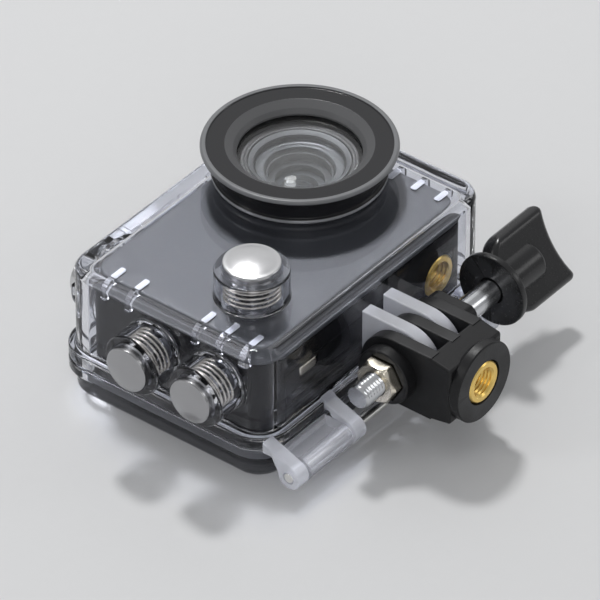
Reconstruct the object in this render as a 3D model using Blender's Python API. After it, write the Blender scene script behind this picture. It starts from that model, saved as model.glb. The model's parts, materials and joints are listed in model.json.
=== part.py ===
"""An action camera in its clear dive housing, lying on its back, with a three-prong mount and thumb screw.

Metres, +Z up. X runs to the right of the camera's face, Y to its top and Z out of its lens. The rear door
lies on z = 0, and the origin is the middle of that door.
"""

import math

import bmesh
import bpy
from mathutils import Matrix, Vector

MM = 0.001

# Clearances
GAP = 0.3 * MM  # between neighbouring pieces
ROOT = 1.0 * MM  # how far a moulded-on detail runs into the wall that it grows from
PAST = 2.0 * MM  # how far a cutter runs past what it cuts

# Camera body
CAMERA_WIDTH = 59.3 * MM
CAMERA_HEIGHT = 41.1 * MM
CAMERA_DEPTH = 22.4 * MM
CAMERA_CORNER = 4.0 * MM
CAMERA_WALL = 1.6 * MM
CAMERA_EDGE = 0.5 * MM
CAMERA_SHAKE = 0.6 * MM  # room before and behind the camera
SIDE_ROOM = 1.55 * MM  # room beside the camera
END_ROOM = 0.5 * MM  # room above and below it
DISPLAY_WIDTH = 40.0 * MM
DISPLAY_HEIGHT = 30.0 * MM
DISPLAY_SUNK = 0.4 * MM
BOARD = 1.2 * MM
BAY_SPACE = 1.0 * MM  # air around the battery and the boards

# Housing
WALL = 2.8 * MM
DOOR_WALL = 2.6 * MM
DOOR_DEPTH = 7.7 * MM
HOUSING_CORNER = 5.5 * MM
EDGE_FILLET = 2.2 * MM
RIM_REACH = 1.5 * MM
RIM_THICK = 2.5 * MM
GASKET_WIDTH = 1.0 * MM
GASKET_HEIGHT = 1.5 * MM
GASKET_INSET = 0.9 * MM  # from the housing's side to the gasket
RIB_THICK = 1.1 * MM
RIB_DEPTH = 2.4 * MM
RIBS_ABOVE = (9.6 * MM, 15.3 * MM)  # from the middle, on the end walls
RIBS_BELOW = (6.2 * MM, 11.8 * MM, 17.4 * MM)
PAD_REACH = 3.3 * MM  # of a rib over the camera's face

# Rear door's hinge on the bottom side, and the latch on the top side
HINGE_REACH = 6.15 * MM
HINGE_R = 2.5 * MM
PIN_R = 1.0 * MM
LUG_WIDTH = 3.2 * MM
LUG_SLOPE = 22.0  # degrees, of the lug's top
LEFT_INSET = 3.0 * MM  # from the housing's side to the hinge barrel
LEFT_BARREL_LENGTH = 13.4 * MM
RIGHT_INSET = 10.6 * MM
RIGHT_BARREL_LENGTH = 8.4 * MM
LATCH_HALF = 8.0 * MM
LATCH_HEIGHT = 17.5 * MM  # of its pin over the door's back
LATCH_EYE_R = 2.4 * MM
LATCH_TOE = 1.3 * MM  # how far the toe hooks under the lip
LATCH_TOE_THICK = 1.5 * MM
LIP_REACH = 3.35 * MM
LIP_THICK = 2.7 * MM
EAR_THICK = 2.6 * MM

# Lens port
LENS_FROM_RIGHT = 13.85 * MM  # from the camera's right side
LENS_FROM_TOP = 13.65 * MM
LENS_CLEAR = 1.0 * MM  # between the camera's lens and the port
PORT_SPIGOT = 1.0 * MM  # wall of the drum's spigot in the front wall
DRUM_WALL = 1.0 * MM
DRUM_FLOOR = 1.2 * MM
WINDOW_LEDGE = 1.4 * MM
WINDOW_THICK = 1.5 * MM
SEAL_THICK = 0.5 * MM
BEZEL_WALL = 1.2 * MM
BEZEL_FLARE = 2.6 * MM
BEZEL_HEIGHT = 7.0 * MM  # over the front wall
BEZEL_RIM = 1.4 * MM
BEZEL_BAND = 3.4 * MM  # flat ring inside the rim
BEZEL_STEP = 0.2 * MM  # from the rim down to the band

# Camera lens
LENS_RIM = 2.8 * MM
GLASS_LEDGE = 1.8 * MM
LENS_REACH = 5.6 * MM  # of the lens ring over the camera's face
GLASS_R = 8.4 * MM
GLASS_EDGE = 1.0 * MM
GLASS_DOME = 1.5 * MM
SENSOR = 8.0 * MM
SENSOR_THICK = 1.2 * MM

# Buttons
BUTTON_FROM_LEFT = 10.35 * MM  # of the front and top buttons, from the camera's left side
FRONT_BUTTON_RISE = 11.05 * MM  # from the camera's bottom
LOWER_BUTTON_RISE = 7.85 * MM
SIDE_BUTTON_PITCH = 15.0 * MM
TOP_BUTTON_DEPTH = 11.8 * MM  # from the camera's back
FRONT_CAP_R = 5.5 * MM
FRONT_COLLAR = 6.2 * MM
SMALL_CAP_R = 4.6 * MM
TOP_COLLAR = 5.4 * MM
SIDE_COLLAR = 6.4 * MM
COLLAR_WALL = 1.4 * MM
CAP_PROUD = 1.6 * MM
CAP_THICK = 2.6 * MM
CAP_DOME = 0.5 * MM
CAP_EDGE = 0.5 * MM
STEM_R = 1.9 * MM
CLIP_GROOVE = 0.7 * MM
CLIP_REACH = 1.4 * MM
CLIP_THICK = 0.6 * MM
CLIP_RECESS = 1.6 * MM
O_RING_WIRE = 0.5 * MM
SPRING_WIRE = 0.25 * MM
SPRING_PITCH = 1.05 * MM
TRAVEL = 0.7 * MM
KEY_R = 3.2 * MM
KEY_PROUD = 0.2 * MM
KEY_FLANGE = 0.8 * MM

# Camera's bottom and right side
TRIPOD_FROM_RIGHT = 8.35 * MM
TRIPOD_NUT_R = 4.3 * MM
TRIPOD_NUT_DEPTH = 6.0 * MM
THREAD_R = 2.7 * MM
CONNECTOR_WIDTH = 13.0 * MM
CONNECTOR_LIP = 0.6 * MM
CONNECTOR_DEPTH = 5.0 * MM
CONNECTOR_HEIGHT = 5.0 * MM
CARD_WIDTH = 11.0 * MM
CARD_LENGTH = 15.0 * MM
CARD_THICK = 1.0 * MM
CATCH_LENGTH = 5.0 * MM
CATCH_WIDTH = 2.0 * MM
CATCH_FROM_LEFT = 6.6 * MM  # its middle, from the battery door's left end
GRIP_RIBS = 4

# Mount on the two prongs
PRONG_PITCH = 6.4 * MM
PRONG_THICK = 3.0 * MM
PRONG_R = 7.5 * MM
MOUNT_REACH = 9.35 * MM  # from the housing's bottom side to the screw
ADAPTER_LEAF = 2.8 * MM
ADAPTER_BODY = 4.6 * MM
ADAPTER_FOOT = 3.0 * MM
FOOT_R = 8.2 * MM
BOSS_R = 5.8 * MM
BOSS_LENGTH = 2.7 * MM
BLOCK_LENGTH = 4.2 * MM
BLOCK_HALF = 5.2 * MM
BLOCK_CORNER = 2.0 * MM
BLOCK_EDGE = 0.5 * MM
SCREW_R = 2.5 * MM
SCREW_LENGTH = 50.0 * MM
SCREW_TIP = 5.2 * MM  # past the nut
NUT_ACROSS = 8.0 * MM
NUT_THICK = 4.0 * MM
NUT_SUNK = 1.6 * MM
INSERT_R = 4.3 * MM
INSERT_DEPTH = 6.0 * MM
KNOB_FLANGE_R = 7.6 * MM
KNOB_FLANGE = 1.4 * MM
KNOB_HUB_R = 4.2 * MM
KNOB_HUB = 12.5 * MM
KNOB_WING = 19.5 * MM
KNOB_WING_HALF = 8.2 * MM
KNOB_WING_THICK = 4.4 * MM
KNOB_SHOULDER = 5.0 * MM  # how far the wing's tips start from its root
KNOB_NOTCH = 1.8 * MM  # dip in the middle of the wing's end
KNOB_SEAT = 9.0 * MM  # how deep the screw sits in the knob
KNOB_TURN = -35.0  # degrees, as photographed

# Fineness of round stretches
CORNER_STEPS = 5
FINE = 48
ROUND = 32
MEDIUM = 24
COARSE = 16
SPRING_POINTS = 9

# Worked out from the above
HALF_W = CAMERA_WIDTH / 2 + SIDE_ROOM + WALL
HALF_H = CAMERA_HEIGHT / 2 + END_ROOM + WALL
LEFT_BARREL = (-HALF_W + LEFT_INSET, -HALF_W + LEFT_INSET + LEFT_BARREL_LENGTH)
RIGHT_BARREL = (HALF_W - RIGHT_INSET - RIGHT_BARREL_LENGTH, HALF_W - RIGHT_INSET)
BACK_Z = DOOR_WALL + CAMERA_SHAKE
FACE_Z = BACK_Z + CAMERA_DEPTH
INNER_Z = FACE_Z + CAMERA_SHAKE
FRONT_Z = INNER_Z + WALL
SPLIT_Z = DOOR_DEPTH + GAP
INSIDE_W = CAMERA_WIDTH / 2 - CAMERA_WALL
INSIDE_H = CAMERA_HEIGHT / 2 - CAMERA_WALL
HINGE_Y = -HALF_H - HINGE_REACH
HINGE_Z = DOOR_DEPTH - HINGE_R
LIP_Y = HALF_H + LIP_REACH
LATCH_Y = LIP_Y + GAP + LATCH_EYE_R / 2
MOUNT_Y = -HALF_H - MOUNT_REACH
MOUNT_Z = SPLIT_Z + PRONG_R
LIP_LOW = DOOR_DEPTH - RIM_THICK / 2 - LIP_THICK / 2
LATCH_DROP = LATCH_HEIGHT - LIP_LOW
LATCH_AJAR = math.degrees(math.asin((LATCH_TOE + 2 * GAP) / LATCH_DROP))  # clear of the door's swing
LENS_X = CAMERA_WIDTH / 2 - LENS_FROM_RIGHT
LENS_Y = CAMERA_HEIGHT / 2 - LENS_FROM_TOP
LENS_R = GLASS_R + LENS_RIM
LENS_BORE = GLASS_R - GLASS_LEDGE
LENS_BODY_R = LENS_BORE + CAMERA_WALL
PORT_BORE = LENS_R + LENS_CLEAR
WINDOW_R = PORT_BORE + WINDOW_LEDGE
DRUM_R = WINDOW_R + GAP + DRUM_WALL
SLEEVE_R = DRUM_R + GAP
PORT_R = SLEEVE_R + BEZEL_WALL
BEZEL_R = PORT_R + BEZEL_FLARE
BAND_R = BEZEL_R - BEZEL_RIM - BEZEL_BAND
DRUM_SEAT = GAP + DRUM_FLOOR
DRUM_HEIGHT = DRUM_SEAT + 2 * GAP + SEAL_THICK + WINDOW_THICK
NECK_R = STEM_R - CLIP_GROOVE
CLIP_R = STEM_R + CLIP_REACH
BUTTON_X = -CAMERA_WIDTH / 2 + BUTTON_FROM_LEFT
FRONT_BUTTON_Y = -CAMERA_HEIGHT / 2 + FRONT_BUTTON_RISE
LOWER_BUTTON_Y = -CAMERA_HEIGHT / 2 + LOWER_BUTTON_RISE
SIDE_BUTTON_Z = FACE_Z - CAMERA_WALL - 2 * GAP - KEY_R - KEY_FLANGE
KEY_DEPTH = CAMERA_WALL + GAP + KEY_FLANGE + TRAVEL
SCREEN_TOP = BACK_Z + CAMERA_WALL + BAY_SPACE
BOARD_TOP = SCREEN_TOP + BAY_SPACE + BOARD
KEY_BOARD_TOP = FACE_Z - KEY_DEPTH - GAP
CARD_LOW = BOARD_TOP + GAP
TRIPOD_Z = CARD_LOW + CARD_THICK + BAY_SPACE + TRIPOD_NUT_R
BATTERY_LEFT = -INSIDE_W + KEY_DEPTH - CAMERA_WALL + BAY_SPACE
BATTERY_RIGHT = LENS_X - LENS_BODY_R - 2 * BAY_SPACE
BATTERY_LOW = SCREEN_TOP + BAY_SPACE
BATTERY_HIGH = KEY_BOARD_TOP - BOARD - BAY_SPACE
BATTERY_TOP = INSIDE_H - KEY_DEPTH + CAMERA_WALL - BAY_SPACE
PRONG_OUTER = PRONG_PITCH / 2 + PRONG_THICK / 2
LEAF_OUTER = PRONG_OUTER + GAP + ADAPTER_LEAF
NUT_OUTER = LEAF_OUTER + BOSS_LENGTH - NUT_SUNK + NUT_THICK
SCREW_LOW = -NUT_OUTER - SCREW_TIP
KNOB_X = SCREW_LOW + SCREW_LENGTH - KNOB_SEAT
ADAPTER_START = PRONG_R + 2 * GAP
ADAPTER_END = ADAPTER_START + ADAPTER_BODY + ADAPTER_FOOT

# Local (u, v, w) onto the world, so that w runs along X or along Y
ALONG_X = Matrix(((0, 0, 1, 0), (1, 0, 0, 0), (0, 1, 0, 0), (0, 0, 0, 1)))
ALONG_Y = Matrix(((0, 1, 0, 0), (0, 0, 1, 0), (1, 0, 0, 0), (0, 0, 0, 1)))


def clear_scene():
    for old in list(bpy.data.objects):
        bpy.data.objects.remove(old, do_unlink=True)


def finish(name, colour, roughness, metallic=0.0, alpha=1.0):
    """A plain Principled material."""
    material = bpy.data.materials.new(name)
    material.use_nodes = True
    shader = material.node_tree.nodes["Principled BSDF"]
    shader.inputs["Base Color"].default_value = (*colour, 1.0)
    shader.inputs["Roughness"].default_value = roughness
    shader.inputs["Metallic"].default_value = metallic
    shader.inputs["Alpha"].default_value = alpha
    return material


def add_object(name, mesh, material=None):
    """Links a bmesh as a smooth-shaded object; without a material it is a hidden tool."""
    data = bpy.data.meshes.new(name)
    bmesh.ops.recalc_face_normals(mesh, faces=mesh.faces)
    mesh.to_mesh(data)
    mesh.free()
    data.shade_smooth()
    data.set_sharp_from_angle(angle=math.radians(35))
    item = bpy.data.objects.new(name, data)
    bpy.context.scene.collection.objects.link(item)
    if material:
        data.materials.append(material)
    else:
        item.hide_render = True
        item.display_type = "WIRE"
    return item


def skin(mesh, loops, place, closed=False):
    """Skins a row of equal point loops, and caps its two ends or closes it into a ring."""
    rings = [[mesh.verts.new(place @ Vector(point)) for point in loop] for loop in loops]
    pairs = list(zip(rings, rings[1:]))
    if closed:
        pairs.append((rings[-1], rings[0]))
    else:
        mesh.faces.new(rings[0])
        mesh.faces.new(rings[-1])
    for low, high in pairs:
        for here in range(len(low)):
            mesh.faces.new((low[here - 1], low[here], high[here], high[here - 1]))


def loft(name, loops, material=None, place=Matrix(), closed=False):
    mesh = bmesh.new()
    skin(mesh, loops, place, closed)
    return add_object(name, mesh, material)


def arc(centre, radius, start, end, steps):
    """Points of an arc, with its angles in degrees."""
    angles = [math.radians(start + (end - start) * step / steps) for step in range(steps + 1)]
    return [(centre[0] + radius * math.cos(a), centre[1] + radius * math.sin(a)) for a in angles]


def rounded_rectangle(half_w, half_h, radius, z):
    radius = max(radius, 0.1 * MM)
    points = []
    for quarter, (side, end) in enumerate(((1, 1), (-1, 1), (-1, -1), (1, -1))):
        centre = (side * (half_w - radius), end * (half_h - radius))
        points += arc(centre, radius, 90 * quarter, 90 * quarter + 90, CORNER_STEPS)
    return [(x, y, z) for x, y in points]


def stacked(name, half_w, half_h, radius, levels, material=None, closed=False):
    """Lofts one rounded rectangle through (inset, height) levels."""
    loops = [rounded_rectangle(half_w - inset, half_h - inset, radius - inset, z) for inset, z in levels]
    return loft(name, loops, material, closed=closed)


def turned(name, profile, material=None, place=Matrix(), steps=MEDIUM, closed=False):
    """Turns a (radius, height) profile round the local Z axis."""
    loops = [[(*point, z) for point in arc((0, 0), radius, 0, 360, steps)[:-1]] for radius, z in profile]
    return loft(name, loops, material, place, closed)


def prism(name, outline, low, high, material=None, place=Matrix()):
    """Runs an outline from low to high along the local Z axis."""
    return loft(name, [[(*point, z) for point in outline] for z in (low, high)], material, place)


def block(name, low, high, material=None):
    corners = [(low[0], low[1]), (high[0], low[1]), (high[0], high[1]), (low[0], high[1])]
    return prism(name, corners, low[2], high[2], material)


def blocks(name, boxes):
    """Several boxes in one hidden tool."""
    mesh = bmesh.new()
    for low, high in boxes:
        corners = [(low[0], low[1]), (high[0], low[1]), (high[0], high[1]), (low[0], high[1])]
        skin(mesh, [[(*corner, z) for corner in corners] for z in (low[2], high[2])], Matrix())
    return add_object(name, mesh)


def rod(name, radius, low, high, place, material=None, steps=MEDIUM):
    return turned(name, [(radius, low), (radius, high)], material, place, steps)


def boolean(target, operation, *tools):
    for tool in tools:
        step = target.modifiers.new(tool.name, "BOOLEAN")
        step.operation = operation
        step.solver = "EXACT"
        step.object = tool


def add(target, *tools):
    boolean(target, "UNION", *tools)


def cut(target, *tools):
    boolean(target, "DIFFERENCE", *tools)


def fillet(inset, z, radius, turn):
    """(inset, height) levels of a quarter round that ends a stack at height z, upward (1) or down (-1)."""
    quarter = arc((0, 0), radius, 0, 90, 4)
    return [(inset + radius - across, z + turn * (up - radius)) for across, up in quarter]


def on_axis(name, point, pieces, turn=0.0):
    """Hangs pieces and their tools, all drawn in the housing's frame, on an empty on their joint."""
    axis = bpy.data.objects.new(name, None)
    axis.location = point
    axis.rotation_euler.x = math.radians(turn)
    bpy.context.scene.collection.objects.link(axis)
    for piece in pieces:
        for item in (piece, *[step.object for step in piece.modifiers]):
            item.parent = axis
            item.location = -Vector(point)


def facing(point, outward):
    """Local frame of a button: its origin on the housing's outer side, its Z pointing out."""
    turn = Vector((0, 0, 1)).rotation_difference(Vector(outward))
    return Matrix.Translation(point) @ turn.to_matrix().to_4x4()


class Button:
    """One sprung push button of the housing and the camera's key under it, in the button's own frame."""

    def __init__(self, name, point, outward, room, cap_r, collar):
        self.name = name
        self.point = Vector(point)
        self.place = facing(point, outward)
        self.room = room
        self.cap_r = cap_r
        self.collar = collar
        self.camera_side = -WALL - room
        self.key_top = self.camera_side + KEY_PROUD
        self.chamber_r = cap_r + GAP
        self.cap_under = collar + CAP_PROUD - CAP_THICK
        self.clip_top = -WALL + CLIP_RECESS - GAP

    def collar_tool(self):
        outer = self.chamber_r + COLLAR_WALL
        profile = [(outer, -ROOT), (outer, self.collar - 0.4 * MM), (outer - 0.4 * MM, self.collar)]
        return turned(f"{self.name}_collar", profile, None, self.place)

    def bore_tool(self):
        """Spring chamber, stem bore and clip recess in one cutter."""
        profile = [
            (CLIP_R + GAP, -WALL - PAST),
            (CLIP_R + GAP, -WALL + CLIP_RECESS),
            (STEM_R + GAP, -WALL + CLIP_RECESS),
            (STEM_R + GAP, 0.0),
            (self.chamber_r, 0.0),
            (self.chamber_r, self.collar + PAST),
        ]
        return turned(f"{self.name}_bore", profile, None, self.place)

    def key_hole(self):
        low = self.camera_side - CAMERA_WALL
        return rod(f"{self.name}_key_hole", KEY_R + GAP, low - PAST, self.camera_side + PAST / 2, self.place)

    def plunger(self, material):
        low = self.key_top + GAP
        groove_low = self.clip_top - CLIP_THICK - GAP
        groove_high = self.clip_top + GAP
        top = self.collar + CAP_PROUD
        profile = [
            (STEM_R - GAP, low),
            (STEM_R, groove_low),
            (NECK_R, groove_low),
            (NECK_R, groove_high),
            (STEM_R, groove_high),
            (STEM_R, self.cap_under),
            (self.cap_r, self.cap_under),
            (self.cap_r, top - CAP_EDGE),
        ]
        for step in range(4):
            across = 1 - step / 4
            profile.append(((self.cap_r - CAP_EDGE) * across, top + CAP_DOME * (1 - across ** 2)))
        return turned(f"{self.name}_plunger", profile, material, self.place)

    def clip(self, material):
        """A C-shaped retaining clip in the stem's groove."""
        inner = NECK_R + GAP
        low = self.clip_top - CLIP_THICK
        section = [(inner, low), (CLIP_R, low), (CLIP_R, self.clip_top), (inner, self.clip_top)]
        loops = []
        for step in range(COARSE + 1):
            angle = math.radians(30 + 300 * step / COARSE)
            loops.append([(r * math.cos(angle), r * math.sin(angle), z) for r, z in section])
        return loft(f"{self.name}_clip", loops, material, self.place)

    def o_ring(self, material):
        middle = (STEM_R + GAP + O_RING_WIRE, GAP + O_RING_WIRE)
        profile = arc(middle, O_RING_WIRE, 0, 360, 6)[:-1]
        return turned(f"{self.name}_seal", profile, material, self.place, COARSE, closed=True)

    def spring(self, material):
        """A compression spring as one unbroken tube; each end runs straight for one wire diameter."""
        radius = self.chamber_r - GAP - SPRING_WIRE
        low = GAP + SPRING_WIRE
        high = self.cap_under - GAP - SPRING_WIRE
        turns = (high - low) / SPRING_PITCH
        count = max(2, round(turns * SPRING_POINTS))
        points = []
        for step in range(count + 1):
            angle = 2 * math.pi * turns * step / count
            rise = low + (high - low) * step / count
            points.append(Vector((radius * math.cos(angle), radius * math.sin(angle), rise)))
        straight = 2 * SPRING_WIRE
        first, last = points[0], points[-1]
        points.insert(0, first - straight * Vector((-first.y, first.x, 0)).normalized())
        points.append(last + straight * Vector((-last.y, last.x, 0)).normalized())
        apart = [
            (a - b).length
            for here, a in enumerate(points)
            for b in points[here + SPRING_POINTS - 2:]
        ]
        print(f"{self.name}_spring least gap to itself {(min(apart) - 2 * SPRING_WIRE) / MM:.2f} mm")
        curve = bpy.data.curves.new(f"{self.name}_spring", "CURVE")
        curve.dimensions = "3D"
        curve.bevel_depth = SPRING_WIRE
        curve.bevel_resolution = 1
        curve.use_fill_caps = True
        wire = curve.splines.new("POLY")
        wire.points.add(len(points) - 1)
        for point, place in zip(wire.points, points):
            point.co = (*(self.place @ place), 1.0)
        curve.materials.append(material)
        item = bpy.data.objects.new(f"{self.name}_spring", curve)
        bpy.context.scene.collection.objects.link(item)
        return item

    def key(self, material):
        under = self.camera_side - CAMERA_WALL - GAP
        profile = [
            (KEY_R + KEY_FLANGE, under - KEY_FLANGE),
            (KEY_R + KEY_FLANGE, under),
            (KEY_R, under),
            (KEY_R, self.key_top - GAP),
            (KEY_R - GAP, self.key_top),
        ]
        return turned(f"{self.name}_key", profile, material, self.place)

    def build(self, chrome, steel, rubber, key_plastic):
        moving = [self.plunger(chrome), self.clip(steel)]
        on_axis(f"{self.name}_button_slide", self.point, moving)
        on_axis(f"{self.name}_key_slide", self.point, [self.key(key_plastic)])
        self.o_ring(rubber)
        self.spring(steel)


def make_buttons():
    front = (BUTTON_X, FRONT_BUTTON_Y, FRONT_Z)
    top = (BUTTON_X, HALF_H, BACK_Z + TOP_BUTTON_DEPTH)
    buttons = [
        Button("front", front, (0, 0, 1), CAMERA_SHAKE, FRONT_CAP_R, FRONT_COLLAR),
        Button("top", top, (0, 1, 0), END_ROOM, SMALL_CAP_R, TOP_COLLAR),
    ]
    for row, name in enumerate(("lower", "upper")):
        side = (-HALF_W, LOWER_BUTTON_Y + row * SIDE_BUTTON_PITCH, SIDE_BUTTON_Z)
        buttons.append(Button(name, side, (-1, 0, 0), SIDE_ROOM, SMALL_CAP_R, SIDE_COLLAR))
    return buttons


def tongue(root_y, root_low, root_high, centre, radius):
    """(y, z) outline of a flat arm from a wall to a round end."""
    outward = math.copysign(1, centre[0] - root_y)
    end = arc(centre, radius, -90, 90 if outward > 0 else -270, 8)
    return [(root_y, root_low), *end, (root_y, root_high)]


def hinge_lug():
    """(y, z) outline of a lug that hangs the hinge pin below the front shell's rim."""
    wall = -HALF_H + WALL - GAP
    eye = arc((HINGE_Y, HINGE_Z), HINGE_R, 0, LUG_SLOPE - 270, 12)
    rise = (wall - eye[-1][0]) * math.tan(math.radians(LUG_SLOPE))
    return [(wall, SPLIT_Z), (-HALF_H - RIM_REACH - 2 * GAP, SPLIT_Z), *eye, (wall, eye[-1][1] + rise)]


def hinge_lugs():
    lugs = []
    for left, right in (LEFT_BARREL, RIGHT_BARREL):
        for low, high in ((left - GAP - LUG_WIDTH, left - GAP), (right + GAP, right + GAP + LUG_WIDTH)):
            lugs.append(prism(f"lug_{len(lugs)}", hinge_lug(), low, high, None, ALONG_X))
    return lugs


def latch_ears():
    outline = tongue(HALF_H - ROOT, LATCH_HEIGHT - 2 * LATCH_EYE_R, LATCH_HEIGHT + LATCH_EYE_R,
                     (LATCH_Y, LATCH_HEIGHT), LATCH_EYE_R)
    inner = LATCH_HALF + GAP
    return [
        prism("ear_left", outline, -inner - EAR_THICK, -inner, None, ALONG_X),
        prism("ear_right", outline, inner, inner + EAR_THICK, None, ALONG_X),
    ]


def prongs():
    outline = tongue(-HALF_H + ROOT, MOUNT_Z - PRONG_R, MOUNT_Z + PRONG_R, (MOUNT_Y, MOUNT_Z), PRONG_R)
    pair = []
    for side in (-1, 1):
        low = side * PRONG_PITCH / 2 - PRONG_THICK / 2
        pair.append(prism(f"prong_{side}", outline, low, low + PRONG_THICK, None, ALONG_X))
    return pair


def locating_ribs():
    """Ribs in the front wall's two ends that keep the camera in the middle, as (x, z) outlines: each is deep
    beside the camera and shallow over its face."""
    beside = CAMERA_WIDTH / 2 + GAP
    outer = HALF_W - WALL + ROOT
    over = beside - GAP - PAD_REACH
    shallow = FACE_Z + GAP
    mesh = bmesh.new()
    for side in (-1, 1):
        outline = [(outer, INNER_Z + ROOT), (over, INNER_Z + ROOT), (over, shallow), (beside, shallow)]
        outline += [(beside, INNER_Z - RIB_DEPTH), (outer, INNER_Z - RIB_DEPTH)]
        for place in (*RIBS_ABOVE, *[-place for place in RIBS_BELOW]):
            sides = (place - RIB_THICK / 2, place + RIB_THICK / 2)
            skin(mesh, [[(side * x, y, z) for x, z in outline] for y in sides], Matrix())
    return add_object("locating_ribs", mesh)


def housing_shell(material, buttons):
    rim_top = SPLIT_Z + RIM_THICK
    levels = [(WALL, INNER_Z), (WALL, SPLIT_Z), (-RIM_REACH, SPLIT_Z), (-RIM_REACH, rim_top), (0, rim_top)]
    levels += fillet(0, FRONT_Z, EDGE_FILLET, 1)
    shell = stacked("housing_shell", HALF_W, HALF_H, HOUSING_CORNER, levels, material)
    add(shell, locating_ribs(), *hinge_lugs(), *latch_ears(), *prongs())
    add(shell, *[button.collar_tool() for button in buttons])
    cut(shell, *[button.bore_tool() for button in buttons])
    lens = Matrix.Translation((LENS_X, LENS_Y, 0))
    hinge = Matrix.Translation((0, HINGE_Y, HINGE_Z)) @ ALONG_X
    latch = Matrix.Translation((0, LATCH_Y, LATCH_HEIGHT)) @ ALONG_X
    screw = Matrix.Translation((0, MOUNT_Y, MOUNT_Z)) @ ALONG_X
    cut(
        shell,
        rod("port_hole", PORT_BORE + PORT_SPIGOT + GAP, INNER_Z - PAST, FRONT_Z + PAST, lens, steps=FINE),
        rod("hinge_hole", PIN_R + GAP, -HALF_W - PAST, HALF_W + PAST, hinge, steps=COARSE),
        rod("latch_hole", PIN_R + GAP, -HALF_W, HALF_W, latch, steps=COARSE),
        rod("screw_hole", SCREW_R + GAP, -HALF_W / 2, HALF_W / 2, screw),
    )
    return shell


def rear_door(material):
    levels = [(WALL, DOOR_WALL), (WALL, DOOR_DEPTH), (-RIM_REACH, DOOR_DEPTH)]
    levels += [(-RIM_REACH, DOOR_DEPTH - RIM_THICK), (0, DOOR_DEPTH - RIM_THICK)]
    levels += fillet(0, 0, EDGE_FILLET, -1)
    door = stacked("rear_door", HALF_W, HALF_H, HOUSING_CORNER, levels, material)
    arm = tongue(-HALF_H + ROOT, HINGE_Z - HINGE_R, HINGE_Z + HINGE_R, (HINGE_Y, HINGE_Z), HINGE_R)
    for side, (low, high) in (("left", LEFT_BARREL), ("right", RIGHT_BARREL)):
        add(door, prism(f"barrel_{side}", arm, low, high, None, ALONG_X))
    lip = (LATCH_HALF, LIP_Y, LIP_LOW + LIP_THICK)
    add(door, block("latch_lip", (-LATCH_HALF, HALF_H - ROOT, LIP_LOW), lip))
    hinge = Matrix.Translation((0, HINGE_Y, HINGE_Z)) @ ALONG_X
    floor = DOOR_DEPTH - GASKET_HEIGHT - GAP
    outer = GASKET_INSET - GAP
    inner = GASKET_INSET + GASKET_WIDTH + GAP
    groove = [(outer, floor), (outer, DOOR_DEPTH + PAST), (inner, DOOR_DEPTH + PAST), (inner, floor)]
    cut(
        door,
        rod("barrel_hole", PIN_R + GAP, -HALF_W, HALF_W, hinge, steps=COARSE),
        stacked("gasket_groove", HALF_W, HALF_H, HOUSING_CORNER, groove, closed=True),
    )
    return door


def door_gasket(material):
    inner = GASKET_INSET + GASKET_WIDTH
    floor = DOOR_DEPTH - GASKET_HEIGHT
    levels = [(GASKET_INSET, floor), (GASKET_INSET, DOOR_DEPTH), (inner, DOOR_DEPTH), (inner, floor)]
    return stacked("door_gasket", HALF_W, HALF_H, HOUSING_CORNER, levels, material, closed=True)


def latch_lever(material):
    """Side view of the lever, drawn closed: an eye on the pin, an arm, and a toe under the door's lip."""
    toe_top = LIP_LOW - GAP
    arm = LIP_Y + GAP
    tab = arm + 2 * LATCH_TOE_THICK
    eye = arc((LATCH_Y, LATCH_HEIGHT), LATCH_EYE_R, 0, 180, 8)
    outline = [
        *eye,
        (arm, DOOR_DEPTH + GAP),
        (arm, toe_top),
        (LIP_Y - LATCH_TOE, toe_top),
        (LIP_Y - LATCH_TOE, toe_top - LATCH_TOE_THICK),
        (arm, toe_top - 2 * LATCH_TOE_THICK),
        (tab + LATCH_TOE_THICK, toe_top - 2 * LATCH_TOE_THICK),
        (tab + LATCH_TOE_THICK, toe_top - LATCH_TOE_THICK),
        (tab, toe_top + LATCH_TOE_THICK),
    ]
    lever = prism("latch_lever", outline, -LATCH_HALF, LATCH_HALF, material, ALONG_X)
    axis = Matrix.Translation((0, LATCH_Y, LATCH_HEIGHT)) @ ALONG_X
    cut(lever, rod("lever_hole", PIN_R + GAP, -HALF_W, HALF_W, axis, steps=COARSE))
    on_axis("latch_axis", (0, LATCH_Y, LATCH_HEIGHT), [lever], LATCH_AJAR)


def housing_pins(steel):
    hinge = Matrix.Translation((0, HINGE_Y, HINGE_Z)) @ ALONG_X
    left = LEFT_BARREL[0] - GAP - LUG_WIDTH
    right = RIGHT_BARREL[1] + GAP + LUG_WIDTH
    rod("hinge_pin", PIN_R, left, right, hinge, steel, COARSE)
    latch = Matrix.Translation((0, LATCH_Y, LATCH_HEIGHT)) @ ALONG_X
    reach = LATCH_HALF + GAP + EAR_THICK
    rod("latch_pin", PIN_R, -reach, reach, latch, steel, COARSE)


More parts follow.
